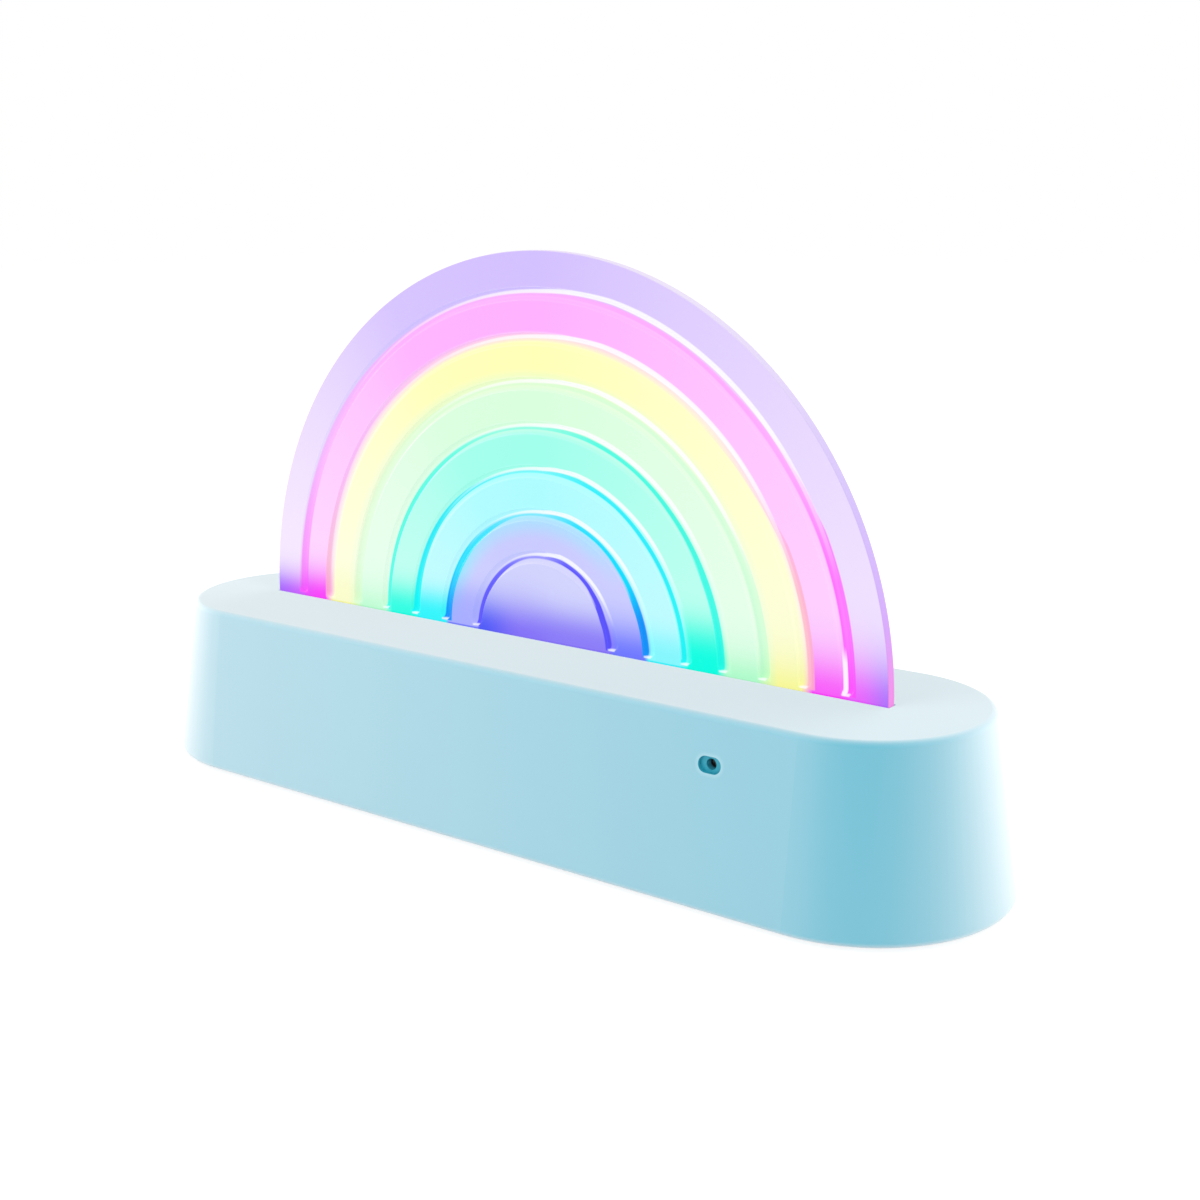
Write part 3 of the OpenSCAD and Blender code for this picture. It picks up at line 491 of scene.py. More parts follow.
class PlateLight(Graph):
    """The graph of the arch's light, which knows where a shaded point lies on the plate.

    Curves, the crown's ends and the left flank run over the turn round the arch. An edge is where a soft
    step starts and ends, and three numbers are a mask's middle, half width and fade, in millimetres.
    Values named after bands count bands inward from the rim.

    Attributes:
        x: The point's place along the base, in metres.
        inward: Its distance from the rim, in metres.
        across: The same distance in bands.
        turn: Its turn round the arch, from zero on the right to one on the left.
        height: Its height above the slot, in millimetres.
        off: How far inward it lies from the nearest groove, in millimetres.
        grooved: One where grooves run, and less on the back.
    """

    softness = (0.10, 0.14, 0.26, 0.12, 0.10, 0.06, 0.06)
    outward = (0.05, 0.10, 0.14, 0.0, 0.02, 0.0, 0.0)
    half_band = 0.5
    groove_edge, root_edge, side_edge = (0.5, 0.8), (0.5, 0.1), (-8.0, 8.0)
    face_depth, face_share = 2.0, ((0.46, 1.0), (0.6, 0.3))

    cool, cool_bands, cool_left, left_edge = "#A868FA", (-0.1, 0.75), 0.9, (0.0, -60.0)
    deep, deep_from, deep_edge = "#505AF6", 7.0, (-6.0, -19.0)

    outer_pale, outer_bands = "#FFF0FF", (1.7, 2.0)
    paling = ((0.0, 0.95), (0.25, 0.5), (0.5, 0.0), (0.67, 0.1), (0.75, 0.45), (0.83, 0.7), (1.0, 1.1))
    wash, wash_from, wash_bands = "#98E8FE", 6.0, (6.6, 6.0)
    washed = ((0.0, 0.0), (0.2, 0.0), (0.33, 0.6), (0.67, 0.65), (0.83, 1.0), (0.92, 0.6), (1.0, 0.0))

    stroke_edge = (0.3, 0.0)
    crown_right, crown_left, left_flank = (0.09, 0.22), (0.98, 0.82), (0.56, 0.80)
    right_flank = ((0.0, 1.0), (0.14, 1.0), (0.2, 0.4), (0.28, 0.0))
    line_place = ((0.0, 0.5), (0.14, 0.48), (0.25, 0.22), (0.33, -0.2), (0.42, -0.45), (0.5, -0.45),
                  (0.6, -0.55), (1.0, -0.5))
    line_half = ((0.0, 0.3), (0.17, 0.25), (0.33, 0.3), (0.42, 0.35), (0.5, 0.28), (0.58, 0.22),
                 (0.67, 0.3), (0.83, 0.5), (1.0, 0.7))
    line_lit = ((0.0, 1.0), (0.4, 1.0), (0.5, 0.6), (0.58, 0.6), (0.68, 0.9), (0.8, 1.0))

    # The white line on each groove's outer wall: the plate's glow with a painted highlight on it.
    wall_pale, wall_share = "#FCFAFC", 0.86
    wall_place = ((0.11, -1.2), (0.17, -1.38), (0.25, -1.66), (0.42, -1.9), (0.46, -1.5), (0.5, -1.06),
                  (0.58, -0.97), (0.8, -0.9))
    wall_half = ((0.11, 0.5), (0.2, 0.75), (0.38, 0.7), (0.5, 0.3), (0.58, 0.15), (0.8, 0.02))
    wall_strength = ((0.1, 0.0), (0.17, 0.45), (0.23, 1.0), (0.47, 1.0), (0.5, 0.9), (0.58, 0.7),
                     (0.67, 0.4), (0.78, 0.0))

    mark_place, mark_share, mark_bands, mark_side = ((0.45, -0.1), (0.55, -0.8)), 0.7, (2.5, 4.0), (-1.0, 1.0)
    mark_up, mark_wide = (0.8, 0.1, 0.35), (0.6, 0.6)
    strip_up, strip_wide = (4.2, 2.8, 4.2), (0.25, 0.3, 0.25)
    strip_share, strip_bands, strip_side = 0.85, 1.5, (0.0, 1.0)

    # The rim's colours round the arch: its glow, palest over the top where a painted highlight lies on it.
    rim_edge, rim_foot = (0.18, 0.05), "#FC92EC"
    rim_glow_and_highlight = ((0.0, "#E8A0FF"), (0.06, "#D8ACFE"), (0.09, "#D8B6FE"), (0.13, "#D8C0FE"),
                 (0.17, "#DCCAFE"), (0.25, "#E8DAFE"), (0.36, "#F2E8FF"), (0.5, "#F2E6FE"),
                 (0.83, "#DCC4FE"), (1.0, "#D6A0FF"))
    face_level, rim_level, hollow_level, hollow_mask = 0.86, 0.13, 0.06, (-0.6, 1.5, 0.4)

    def __init__(self, tree: bpy.types.NodeTree, given: Sockets) -> None:
        """Measures where the shaded point lies.

        Args:
            tree: The group's tree.
            given: The group's inputs by name.
        """
        super().__init__(tree)
        self.x, y, z = self.parts()
        above = self.math("MAXIMUM", self.minus(z, given["Arch Height"]), 0.0)
        self.inward = self.minus(given["Arch Radius"], self.length(self.x, above))
        self.across = self.over(self.inward, given["Band Width"])
        self.turn = self.over(self.math("ARCTAN2", above, self.x), math.pi)
        self.height = self.math("MAXIMUM", self.over(self.minus(z, given["Slot Height"]), MM), 0.0)
        nearest = self.math("FLOOR", self.plus(self.across, self.half_band))
        self.off = self.product(self.minus(self.across, nearest), given["Band Width"], 1 / MM)
        depth = self.face_depth * MM
        self.grooved = self.product(
            self.math("GREATER_THAN", self.across, self.half_band),
            self.math("LESS_THAN", self.across, len(Seam) + self.half_band),
            self.rise(self.height, *self.groove_edge),
            self.profile(self.over(self.plus(y, depth), 2 * depth), self.face_share))

    def side(self, edge: Point) -> Socket:
        """Adds a soft step along the base."""
        return self.rise(self.x, edge[0] * MM, edge[1] * MM)

    def bands(self, what: str) -> Node:
        """Lays one property of the bands side by side.

        Args:
            what: The property's name.

        Returns:
            The ramp with its value there.
        """
        tones = [getattr(band, what) for band in Band]
        count = len(tones) + 1
        stops = []
        for joint, (lean, soft) in enumerate(zip(self.outward, self.softness), start=1):
            stops += [((joint - lean - soft) / count, tones[joint - 1]),
                      ((joint - lean + soft) / count, tones[joint])]
        return self.ramp(self.over(self.across, count), stops)

    def seams(self, what: str) -> Node:
        """Lays one property of the seams, each over its own groove; takes and returns the same."""
        count = len(Seam) + 1
        stops = [((index + self.half_band) / count, getattr(seam, what)) for index, seam in enumerate(Seam)]
        return self.ramp(self.over(self.across, count), stops, Ease.STEP)

    def foot(self) -> Socket:
        """Returns the deep colours at the foot, cooler towards the rim and at the disc's left end."""
        low, high = self.cool_bands
        reach = self.math("MULTIPLY_ADD", self.side(self.left_edge), self.cool_left, high)
        foot = self.mix(
            self.rise(self.across, low, reach), linear(self.cool), self.bands("low").outputs["Color"])
        disc = self.math("GREATER_THAN", self.across, self.deep_from)
        return self.mix(self.product(self.side(self.deep_edge), disc), foot, linear(self.deep))

    def lit(self) -> Socket:
        """Returns how much of the foot's light shows, by the height above the slot."""
        left, right = (self.bands(side).outputs["Color"] for side in ("left", "right"))
        reach, steep, strength = self.codes(self.mix(self.side(self.side_edge), left, right))
        far = self.over(self.height, self.product(reach, FootLight.most_reach))
        fall = self.math("POWER", far, self.product(steep, FootLight.most_steep))
        return self.product(self.math("EXPONENT", self.product(fall, -1.0)), strength)

    def face(self) -> Socket:
        """Returns the bands' pale colours, paler on the flanks, with a bluish wash on the inmost ring."""
        high = self.bands("high")
        pale = self.mix(self.rise(self.across, *self.outer_bands), linear(self.outer_pale), WHITE)
        share = self.product(self.profile(self.turn, self.paling), high.outputs["Alpha"])
        face = self.mix(share, high.outputs["Color"], pale)
        ring = self.product(
            self.rise(self.across, *self.wash_bands), self.math("GREATER_THAN", self.across, self.wash_from),
            self.profile(self.turn, self.washed))
        return self.mix(ring, face, linear(self.wash))

    def stroke(self, place: Source, half: Source) -> Socket:
        """Adds a soft-edged line along the grooves, by its place inward from their middle and half width."""
        aside = self.math("ABSOLUTE", self.minus(self.off, place))
        return self.rise(self.minus(aside, half), *self.stroke_edge)

    def line(self) -> tuple[Socket, Source]:
        """Returns the share and the colour of each groove's bright line."""
        high, low = self.seams("high"), self.seams("low").outputs["Color"]
        crown = self.product(self.rise(self.turn, *self.crown_right), self.rise(self.turn, *self.crown_left))
        place, half = self.profile(self.turn, self.line_place), self.profile(self.turn, self.line_half)
        strength = high.outputs["Alpha"]
        flanks = (("right", self.profile(self.turn, self.right_flank)),
                  ("left", self.rise(self.turn, *self.left_flank)))
        for side, flank in flanks:
            lean, wide, strong = self.codes(self.seams(side).outputs["Color"])
            lean = self.product(self.minus(lean, FlankLine.middle), FlankLine.lean_span, flank)
            wide = self.product(self.minus(wide, FlankLine.middle), FlankLine.wide_span, flank)
            change = self.product(self.minus(strong, strength), flank)
            place, half, strength = self.plus(place, lean), self.plus(half, wide), self.plus(strength, change)
        lit = self.profile(self.turn, self.line_lit)
        share = self.product(self.stroke(place, half), lit, self.grooved, strength)
        return share, self.mix(crown, low, high.outputs["Color"])

    def wall_glow_and_highlight(self) -> tuple[Socket, Source]:
        """Returns the share and the colour of the white line on each groove's wall: the plate's glow with a
        painted highlight on it.
        """
        curves = (self.wall_place, self.wall_half, self.wall_strength)
        place, half, strength = (self.profile(self.turn, curve) for curve in curves)
        share = self.product(self.stroke(place, half), strength, self.grooved, self.wall_share)
        return share, linear(self.wall_pale)

    def marks(self) -> tuple[Socket, Source]:
        """Returns the share and the colour of a mark at each groove's end and a strip up the outer one."""
        middle = self.profile(self.turn, self.mark_place)
        marked = self.math("MAXIMUM", self.rise(self.across, *self.mark_bands), self.side(self.mark_side))
        end = self.product(
            self.near(self.height, *self.mark_up), self.near(self.off, middle, *self.mark_wide), marked,
            self.mark_share)
        strip = self.product(
            self.near(self.off, *self.strip_wide), self.near(self.height, *self.strip_up),
            self.side(self.strip_side), self.math("LESS_THAN", self.across, self.strip_bands),
            self.strip_share)
        return self.product(self.math("MAXIMUM", end, strip), self.grooved), WHITE

    def glow(self) -> Sockets:
        """Returns the plate's colour, that of its foot, its level of light, and where its rim is."""
        foot, lit = self.foot(), self.lit()
        body = self.mix(lit, self.face(), foot)
        for share, tone in (self.line(), self.wall_glow_and_highlight(), self.marks()):
            body = self.mix(share, body, tone)
        body = self.mix(self.rise(self.height, *self.root_edge), body, foot)
        rim = self.rise(self.over(self.inward, MM), *self.rim_edge)
        # The rim's glow, with a painted highlight over the top.
        tones = [(at, linear(tone)) for at, tone in self.rim_glow_and_highlight]
        edge = self.mix(lit, self.ramp(self.turn, tones).outputs["Color"], linear(self.rim_foot))
        # Painted light: the glow is raised a little in the grooves to offset the shading of their walls.
        hollow = self.product(self.near(self.off, *self.hollow_mask), self.grooved)
        level = self.math("MULTIPLY_ADD", hollow, self.hollow_level, self.face_level)
        level = self.minus(level, self.product(rim, self.rim_level))
        return {"Colour": self.mix(rim, body, edge), "Foot": foot, "Level": level, "Rim": rim}


class RainbowGlow(SharedEffect):
    """Light of the edge-lit arch: colour bands, deep at the foot, with painted highlights on the groove walls
    and the pale rim.
    """

    title = "rainbow_glow"
    takes = {"Arch Radius": 0.09, "Arch Height": 0.04, "Slot Height": 0.041, "Band Width": 0.01}
    gives = {"Colour": tuple, "Foot": tuple, "Level": float, "Rim": float}

    @classmethod
    def lay(cls, graph: Graph, given: Sockets) -> Sockets:
        """Lays the plate's light; see the base class."""
        return PlateLight(graph.tree, given).glow()


@dataclass(frozen=True)
class Finish:
    """What a surface is made of: a colour with a moulded grain, and what a kind of finish adds to it."""

    name: str
    colour: str
    roughness: float = 0.4
    spread: float = 0.05
    mottle: float = 0.03
    grain: float = 0.4 * MM
    depth: float = 0.01 * MM

    def lay(self, graph: Graph) -> Feeds:
        """Lays the finish's nodes.

        Args:
            graph: The material's graph.

        Returns:
            What goes to the inputs of its Principled shader.
        """
        raise NotImplementedError

    def material(self) -> bpy.types.Material:
        """Returns the finish's material, which the first call makes."""
        found = bpy.data.materials.get(self.name)
        if found:
            return found
        made = bpy.data.materials.new(self.name)
        graph = Graph.emptied(made)
        shader = graph.add("ShaderNodeBsdfPrincipled", self.lay(graph))
        graph.add("ShaderNodeOutputMaterial", {"Surface": shader.outputs["BSDF"]})
        return made

    def grained(self, graph: Graph, colour: Source | None = None) -> Sockets:
        """Lays the moulded grain over the finish's own colour, or over another one."""
        colour = linear(self.colour) if colour is None else colour
        return MouldedGrain.place(
            graph, colour=colour, mottle=self.mottle, roughness=self.roughness, spread=self.spread,
            grain=self.grain)

    def skin(self, graph: Graph, colour: Source, grain: Sockets) -> Feeds:
        """Returns what goes to the shader for a colour, and for a grain's roughness and height."""
        bump = graph.add("ShaderNodeBump", {"Distance": self.depth, "Height": grain["Height"]})
        return {"Base Color": colour, "Roughness": grain["Roughness"], "Normal": bump.outputs["Normal"]}


@dataclass(frozen=True)
class Plastic(Finish):
    """A moulded plastic, from matt to glossy, with edges paled by wear and by a painted highlight, and a
    painted sheen.
    """

    roughness: float = 0.45
    spread: float = 0.12
    mottle: float = 0.05
    grain: float = 0.5 * MM
    # Share and colour of the paler edges: wear, and on the pale base a painted edge highlight.
    edge_wear_and_highlight_share: float = 0.15
    edge_wear_and_highlight_colour: str = "#F4F6F6"
    painted_sheen: float = 0.0
    painted_sheen_blend: float = 0.58

    def lay(self, graph: Graph) -> Feeds:
        """Lays grain, edges paled by wear and by a painted highlight, and a painted grazing sheen; see the
        base class.
        """
        grain = self.grained(graph)
        edge_worn_and_lit = EdgeWearAndHighlight.place(graph, colour=grain["Colour"], worn=linear(self.edge_wear_and_highlight_colour), amount=self.edge_wear_and_highlight_share)
        colour = edge_worn_and_lit["Colour"]
        # Painted sheen: white mixed into the colour towards grazing angles by Layer Weight.
        if self.painted_sheen:
            facing = graph.add("ShaderNodeLayerWeight", {"Blend": self.painted_sheen_blend}).outputs["Facing"]
            colour = graph.mix(graph.product(facing, self.painted_sheen), colour, WHITE)
        return self.skin(graph, self.detail(graph, colour), grain)

    def detail(self, graph: Graph, colour: Source) -> Source:
        """Adds what only one piece shows to the plastic's colour, here nothing."""
        return colour


@dataclass(frozen=True)
class PortedPlastic(Plastic):
    """A moulded plastic with a small recess round a microphone port in its front, with painted shade inside
    it and a painted highlight round it.
    """

    port: Point = (0.0, 0.0)
    recess_length: float = 5.4 * MM
    recess_height: float = 3.4 * MM
    # Painted shade inside the recess.
    deep: str = "#2CA6BC"
    # Painted highlight on the skin round the recess.
    pale: str = "#D4ECF2"

    def detail(self, graph: Graph, colour: Source) -> Source:
        """Adds the recess's painted shade and the painted highlight round it; see the base class."""
        recess = PortShadeAndHighlight.place(
            graph, colour=colour, deep=linear(self.deep), pale=linear(self.pale), middle_x=self.port[0],
            middle_z=self.port[1], straight=(self.recess_length - self.recess_height) / 2,
            radius=self.recess_height / 2)
        return recess["Colour"]


@dataclass(frozen=True)
class Metal(Finish):
    """A bare metal with fine streaks and bright edges."""

    roughness: float = 0.3
    mottle: float = 0.25
    depth: float = 0.004 * MM
    edge_wear_and_highlight_share: float = 0.5
    edge_wear_and_highlight_colour: str = "#F4F2EE"

    def lay(self, graph: Graph) -> Feeds:
        """Lays streaks, tarnish and bright edges; see the base class."""
        streaks = BrushedStreaks.place(graph, roughness=self.roughness)
        tarnish = self.grained(graph)["Colour"]
        edge_worn_and_lit = EdgeWearAndHighlight.place(graph, colour=tarnish, worn=linear(self.edge_wear_and_highlight_colour), amount=self.edge_wear_and_highlight_share)
        return {**self.skin(graph, edge_worn_and_lit["Colour"], streaks), "Metallic": 1.0}


@dataclass(frozen=True)
class Rubber(Finish):
    """Soft matt rubber with a dusty bloom."""

    roughness: float = 0.8
    spread: float = 0.15
    mottle: float = 0.2
    grain: float = 0.25 * MM
    depth: float = 0.03 * MM
    gloss: float = 0.3
    bloom: str = "#C8C8C4"
    bloom_size: float = 1.5 * MM
    bloom_edge: Point = (0.5, 0.75)
    bloom_share: float = 0.35

    def lay(self, graph: Graph) -> Feeds:
        """Lays the bloom in patches and a fine pebbled grain; see the base class."""
        grain = self.grained(graph)
        patches = graph.rise(graph.noise(self.bloom_size, 5.0), *self.bloom_edge)
        colour = graph.mix(graph.product(patches, self.bloom_share), grain["Colour"], linear(self.bloom))
        return {**self.skin(graph, colour, grain), "Specular IOR Level": self.gloss}


@dataclass(frozen=True, kw_only=True)
class CircuitBoard(Finish):
    """A printed board: solder mask over copper tracks, with tinned pads."""

    roughness: float = 0.35
    mottle: float = 0.15
    depth: float = 0.03 * MM
    track: str
    track_gap: float = 3.0 * MM
    track_stray: float = 0.6
    track_edge: Point = (0.09, 0.06)
    pad: str = "#D8D8D0"
    pad_gap: float = 4.0 * MM
    pad_stray: float = 0.8
    pad_edge: Point = (0.15, 0.12)
    pad_metal: float = 0.9

    def lay(self, graph: Graph) -> Feeds:
        """Lays tracks along cell borders and pads at cell middles; see the base class."""
        feeds = {"Vector": graph.here(), "Scale": 1 / self.track_gap, "Randomness": self.track_stray}
        cells = graph.add("ShaderNodeTexVoronoi", feeds, feature="DISTANCE_TO_EDGE")
        feeds = {**feeds, "Scale": 1 / self.pad_gap, "Randomness": self.pad_stray}
        dots = graph.add("ShaderNodeTexVoronoi", feeds, distance="CHEBYCHEV")
        tracks = graph.rise(cells.outputs["Distance"], *self.track_edge)
        pads = graph.rise(dots.outputs["Distance"], *self.pad_edge)
        grain = self.grained(graph)
        colour = graph.mix(tracks, grain["Colour"], linear(self.track))
        raised = {**grain, "Height": graph.math("MAXIMUM", tracks, pads)}
        return {**self.skin(graph, graph.mix(pads, colour, linear(self.pad)), raised),
                "Metallic": graph.product(pads, self.pad_metal)}


@dataclass(frozen=True)
class ClearPlastic(Finish):
    """A clear moulding with slightly milky gloss."""

    colour: str = "#F4FAFC"
    roughness: float = 0.18
    spread: float = 0.15
    mottle: float = 0.04
    depth: float = 0.006 * MM
    clearness: float = 0.9

    def lay(self, graph: Graph) -> Feeds:
        """Lays clear plastic with uneven gloss; see the base class."""
        grain = self.grained(graph)
        return {**self.skin(graph, grain["Colour"], grain), "IOR": ACRYLIC_IOR,
                "Transmission Weight": self.clearness}


@dataclass(frozen=True, kw_only=True)
class LightCase(Finish):
    """The white case of a light, which glows through its top in the colour of its band."""

    colour: str = "#F2F2EE"
    roughness: float = 0.35
    arch_radius: float
    arch_height: float
    glow_from: float
    glow_fade: float = 0.1 * MM
    strength: float = 1.5

    def lay(self, graph: Graph) -> Feeds:
        """Lays a white case and a glowing top; see the base class."""
        glow = RainbowGlow.place(graph, arch_radius=self.arch_radius, arch_height=self.arch_height)
        grain = self.grained(graph)
        top = graph.rise(graph.parts()["Z"], self.glow_from, self.glow_from + self.glow_fade)
        return {"Base Color": grain["Colour"], "Roughness": grain["Roughness"],
                "Emission Color": graph.mix(top, BLACK, glow["Foot"]), "Emission Strength": self.strength}


@dataclass(frozen=True, kw_only=True)
class RainbowAcrylic(Finish):
    """The edge-lit plate: satin acrylic that gives the lights' colours off over its whole face."""

    colour: str = "#000000"
    roughness: float = 0.26
    spread: float = 0.08
    mottle: float = 0.02
    grain: float = 0.7 * MM
    depth: float = 0.004 * MM
    arch_radius: float
    arch_height: float
    slot_height: float
    band_width: float
    glow: float = 0.74
    shade: float = 0.62
    rim_matt: float = 0.35
    gloss: float = 0.1

    def lay(self, graph: Graph) -> Feeds:
        """Lays the glow over a darker satin body; see the base class."""
        glow = RainbowGlow.place(
            graph, arch_radius=self.arch_radius, arch_height=self.arch_height,
            slot_height=self.slot_height, band_width=self.band_width)
        grain = self.grained(graph, graph.mix(self.shade, glow["Colour"], linear(self.colour)))
        grain["Roughness"] = graph.math("MULTIPLY_ADD", glow["Rim"], self.rim_matt, grain["Roughness"])
        return {**self.skin(graph, grain["Colour"], grain),
                "IOR": ACRYLIC_IOR, "Specular IOR Level": self.gloss, "Emission Strength": self.glow,
                "Emission Color": graph.scaled(glow["Colour"], glow["Level"])}


def put(name: str, data: bpy.types.ID) -> bpy.types.Object:
    """Returns a new object that shows this mesh, light or camera in the scene."""
    made = bpy.data.objects.new(name, data)
    bpy.context.scene.collection.objects.link(made)
    return made


def around(reach: float, turns: Iterable[float], middle: Point = (0.0, 0.0)) -> list[Point]:
    """Returns the points at one distance from a middle, one for each turn."""
    return [(middle[0] + reach * math.cos(a), middle[1] + reach * math.sin(a)) for a in turns]


@dataclass
class RainbowPlate:
    """The arch: a half disc with a straight foot, rounded rims and round-bottomed grooves in its front."""

    band_width: float = 10 * MM
    groove_lift: float = 0.6 * MM
    groove_count: int = 7
    groove_width: float = 3 * MM
    groove_depth: float = 1.2 * MM
    groove_foot: float = 0.8 * MM
    rim_round: float = 0.3 * MM
    lip_round: float = 0.15 * MM
    screw_hole: float = 1.05 * MM
    screw_at: Point = (65 * MM, 35.3 * MM)
    merge: float = 0.0005 * MM

    arc_steps: int = 200
    least_steps: int = 48
    cap_steps: int = 12
    foot_steps: int = 6
    lip_steps: int = 3
    wall_steps: int = 8
    rim_steps: int = 5
    hole_steps: int = 24

    radius: float = field(init=False)
    arch_height: float = field(init=False)
    foot_height: float = field(init=False)
    half_thickness: float = field(init=False)
    slot_height: float = field(init=False)

    def __post_init__(self) -> None:
        """Takes the plate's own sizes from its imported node, and the slot's height from the base."""
        low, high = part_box("rainbow_plate")
        self.radius, self.half_thickness, self.foot_height = high.x, high.y, low.z
        self.arch_height = high.z - self.radius
        self.slot_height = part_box("base_housing")[1].z

    def outline(self, inset: float) -> list[Point]:
        """Draws the arch and its foot from the lower right corner round to the lower left one.

        Args:
            inset: Distance inside the full outline.

        Returns:
            Points along X and Z.
        """
        reach = self.radius - inset
        rise = (self.arch_height - self.foot_height) / self.foot_steps
        right = [(reach, self.foot_height + i * rise) for i in range(self.foot_steps)]
        turns = [math.pi * i / self.arc_steps for i in range(self.arc_steps + 1)]
        left = [(-x, z) for x, z in reversed(right)]
        return right + around(reach, turns, (0.0, self.arch_height)) + left

    def groove_loop(self, number: int, aside: float) -> list[Point]:
        """Draws the closed line at one distance from a groove's middle line.

        Args:
            number: Which groove, counted from the rim.
            aside: Distance from the middle line.

        Returns:
            Points along X and Z.
        """
        middle = self.radius - number * self.band_width + self.groove_lift
        end_height = self.slot_height - self.arch_height + self.groove_foot + self.groove_width / 2
        start = math.asin(end_height / middle)
        steps = max(self.least_steps, int(self.arc_steps * middle / self.radius))
        turns = [start + (math.pi - 2 * start) * i / steps for i in range(steps + 1)]
        outer, inner = around(middle + aside, turns), around(middle - aside, reversed(turns))
        caps = [math.pi * i / self.cap_steps for i in range(1, self.cap_steps)]
        out, down = Vector((math.cos(start), math.sin(start))), Vector((math.sin(start), -math.cos(start)))
        right_cap = [middle * out - aside * math.cos(c) * out + aside * math.sin(c) * down for c in caps]
        left_cap = [(-p.x, p.y) for p in reversed(right_cap)]
        loop = outer + left_cap + inner + [(p.x, p.y) for p in right_cap]
        return [(x, self.arch_height + z) for x, z in loop]

    def groove_section(self) -> list[Point]:
        """Returns a groove's section from its lip to its bottom, as distance aside and depth."""
        half, lip = self.groove_width / 2, self.lip_round
        quarter = math.pi / 2
        rounded = [quarter * i / self.lip_steps for i in range(self.lip_steps)]
        hollow = [quarter * i / self.wall_steps for i in range(self.wall_steps + 1)]
        section = [(half + lip * (1 - math.sin(a)), lip * (1 - math.cos(a))) for a in rounded]
        return section + [(half * math.cos(b), lip + (self.groove_depth - lip) * math.sin(b)) for b in hollow]

    def rim_section(self) -> list[Point]:
        """Returns the rim's section from front to back, as inset and Y."""
        bow, half = self.rim_round, self.half_thickness
        turns = [math.pi / 2 * i / self.rim_steps for i in range(self.rim_steps + 1)]
        front = [(bow * (1 - math.sin(a)), bow * (1 - math.cos(a)) - half) for a in turns]
        return front + [(inset, -y) for inset, y in reversed(front)]

    def build(self) -> bpy.types.Object:
        """Models the plate.

        Returns:
            The plate, as one closed mesh.
        """
        mesh = bmesh.new()
        front, back = -self.half_thickness, self.half_thickness

        def ring(points: Sequence[Point], y: float) -> Row:
            """Adds a row of points at one depth."""
            return [mesh.verts.new((x, y, z)) for x, z in points]

        def close(row: Row) -> list[bmesh.types.BMEdge]:
            """Joins a row of points into a closed line."""
            pairs = zip(row, [*row[1:], row[0]])
            return [mesh.edges.get(pair) or mesh.edges.new(pair) for pair in pairs]

        def bridge(one: Row, two: Row, closed: bool) -> None:
            """Joins two rows of points by four-sided faces."""
            last = len(one) if closed else len(one) - 1
            for i in range(last):
                j = (i + 1) % len(one)
                mesh.faces.new((one[i], one[j], two[j], two[i]))

        rows = [ring(self.outline(inset), y) for inset, y in self.rim_section()]
        for one, two in zip(rows, rows[1:]):
            bridge(one, two, closed=False)
        mesh.faces.new([row[0] for row in rows] + [row[-1] for row in reversed(rows)])
        front_edges, back_edges = close(rows[0]), close(rows[-1])

        section = self.groove_section()
        for number in range(1, self.groove_count + 1):
            levels = [ring(self.groove_loop(number, aside), front + depth) for aside, depth in section]
            for one, two in zip(levels, levels[1:]):
                bridge(one, two, closed=True)
            front_edges += close(levels[0])

        for side in (-1, 1):
            turns = [2 * math.pi * i / self.hole_steps for i in range(self.hole_steps)]
            hole = around(self.screw_hole, turns, (side * self.screw_at[0], self.screw_at[1]))
            near, far = ring(hole, front), ring(hole, back)
            bridge(near, far, closed=True)
            front_edges += close(near)
            back_edges += close(far)

        bmesh.ops.triangle_fill(mesh, edges=front_edges, use_beauty=True, normal=(0, -1, 0))
        bmesh.ops.triangle_fill(mesh, edges=back_edges, use_beauty=True, normal=(0, 1, 0))
        bmesh.ops.remove_doubles(mesh, verts=mesh.verts, dist=self.merge)
        bmesh.ops.recalc_face_normals(mesh, faces=mesh.faces)
        return self.finish(mesh)

    def finish(self, mesh: bmesh.types.BMesh) -> bpy.types.Object:
        """Turns the modelled mesh into the dressed plate.

        Args:
            mesh: The modelled mesh, which this frees.

        Returns:
            The plate.
        """
        for face in mesh.faces:
            face.smooth = True
        data = bpy.data.meshes.new("glowing_arch")
        mesh.to_mesh(data)
        mesh.free()
        plate = put("glowing_arch", data)
        plate.modifiers.new("flat_faces", "WEIGHTED_NORMAL").keep_sharp = True
        finish = RainbowAcrylic(
            "rainbow_acrylic_glow", arch_radius=self.radius, arch_height=self.arch_height,
            slot_height=self.slot_height, band_width=self.band_width)
        data.materials.append(finish.material())
        plate.visible_diffuse = plate.visible_glossy = False
        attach(plate, "lamp")
        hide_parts("rainbow_plate")
        log.info("glowing_arch: %d faces", len(data.polygons))
        return plate


SCREW_STEEL = Metal("screw_steel_bright", "#B9BCC0", roughness=0.28)
SOCKET_STEEL = Metal("socket_steel_drawn", "#C9CBCC", roughness=0.22)
CAN_ALUMINIUM = Metal("can_aluminium_drawn", "#D4D6D8", roughness=0.32)
WHITE_MOULDING = Plastic("white_moulding", "#EDF0EF", roughness=0.42)
NYLON = Plastic("connector_nylon_cream", "#EFE8D6", roughness=0.5)
CHIP_EPOXY = Plastic("chip_epoxy", "#26282B", roughness=0.55, edge_wear_and_highlight_share=0.3, edge_wear_and_highlight_colour="#5C5F63")


class SubAssembly:
    """Nodes that are put together and dressed together."""

    def finishes(self) -> dict[str, Finish]:
        """Returns the finish of each node, by the node's name."""
        raise NotImplementedError

    def dress(self) -> None:
        """Gives each node its finish."""
        for node, finish in self.finishes().items():
            for slot in frame["nodes"][node].material_slots:
                slot.material = finish.material()
            log.info("%s: %s", node, finish.name)


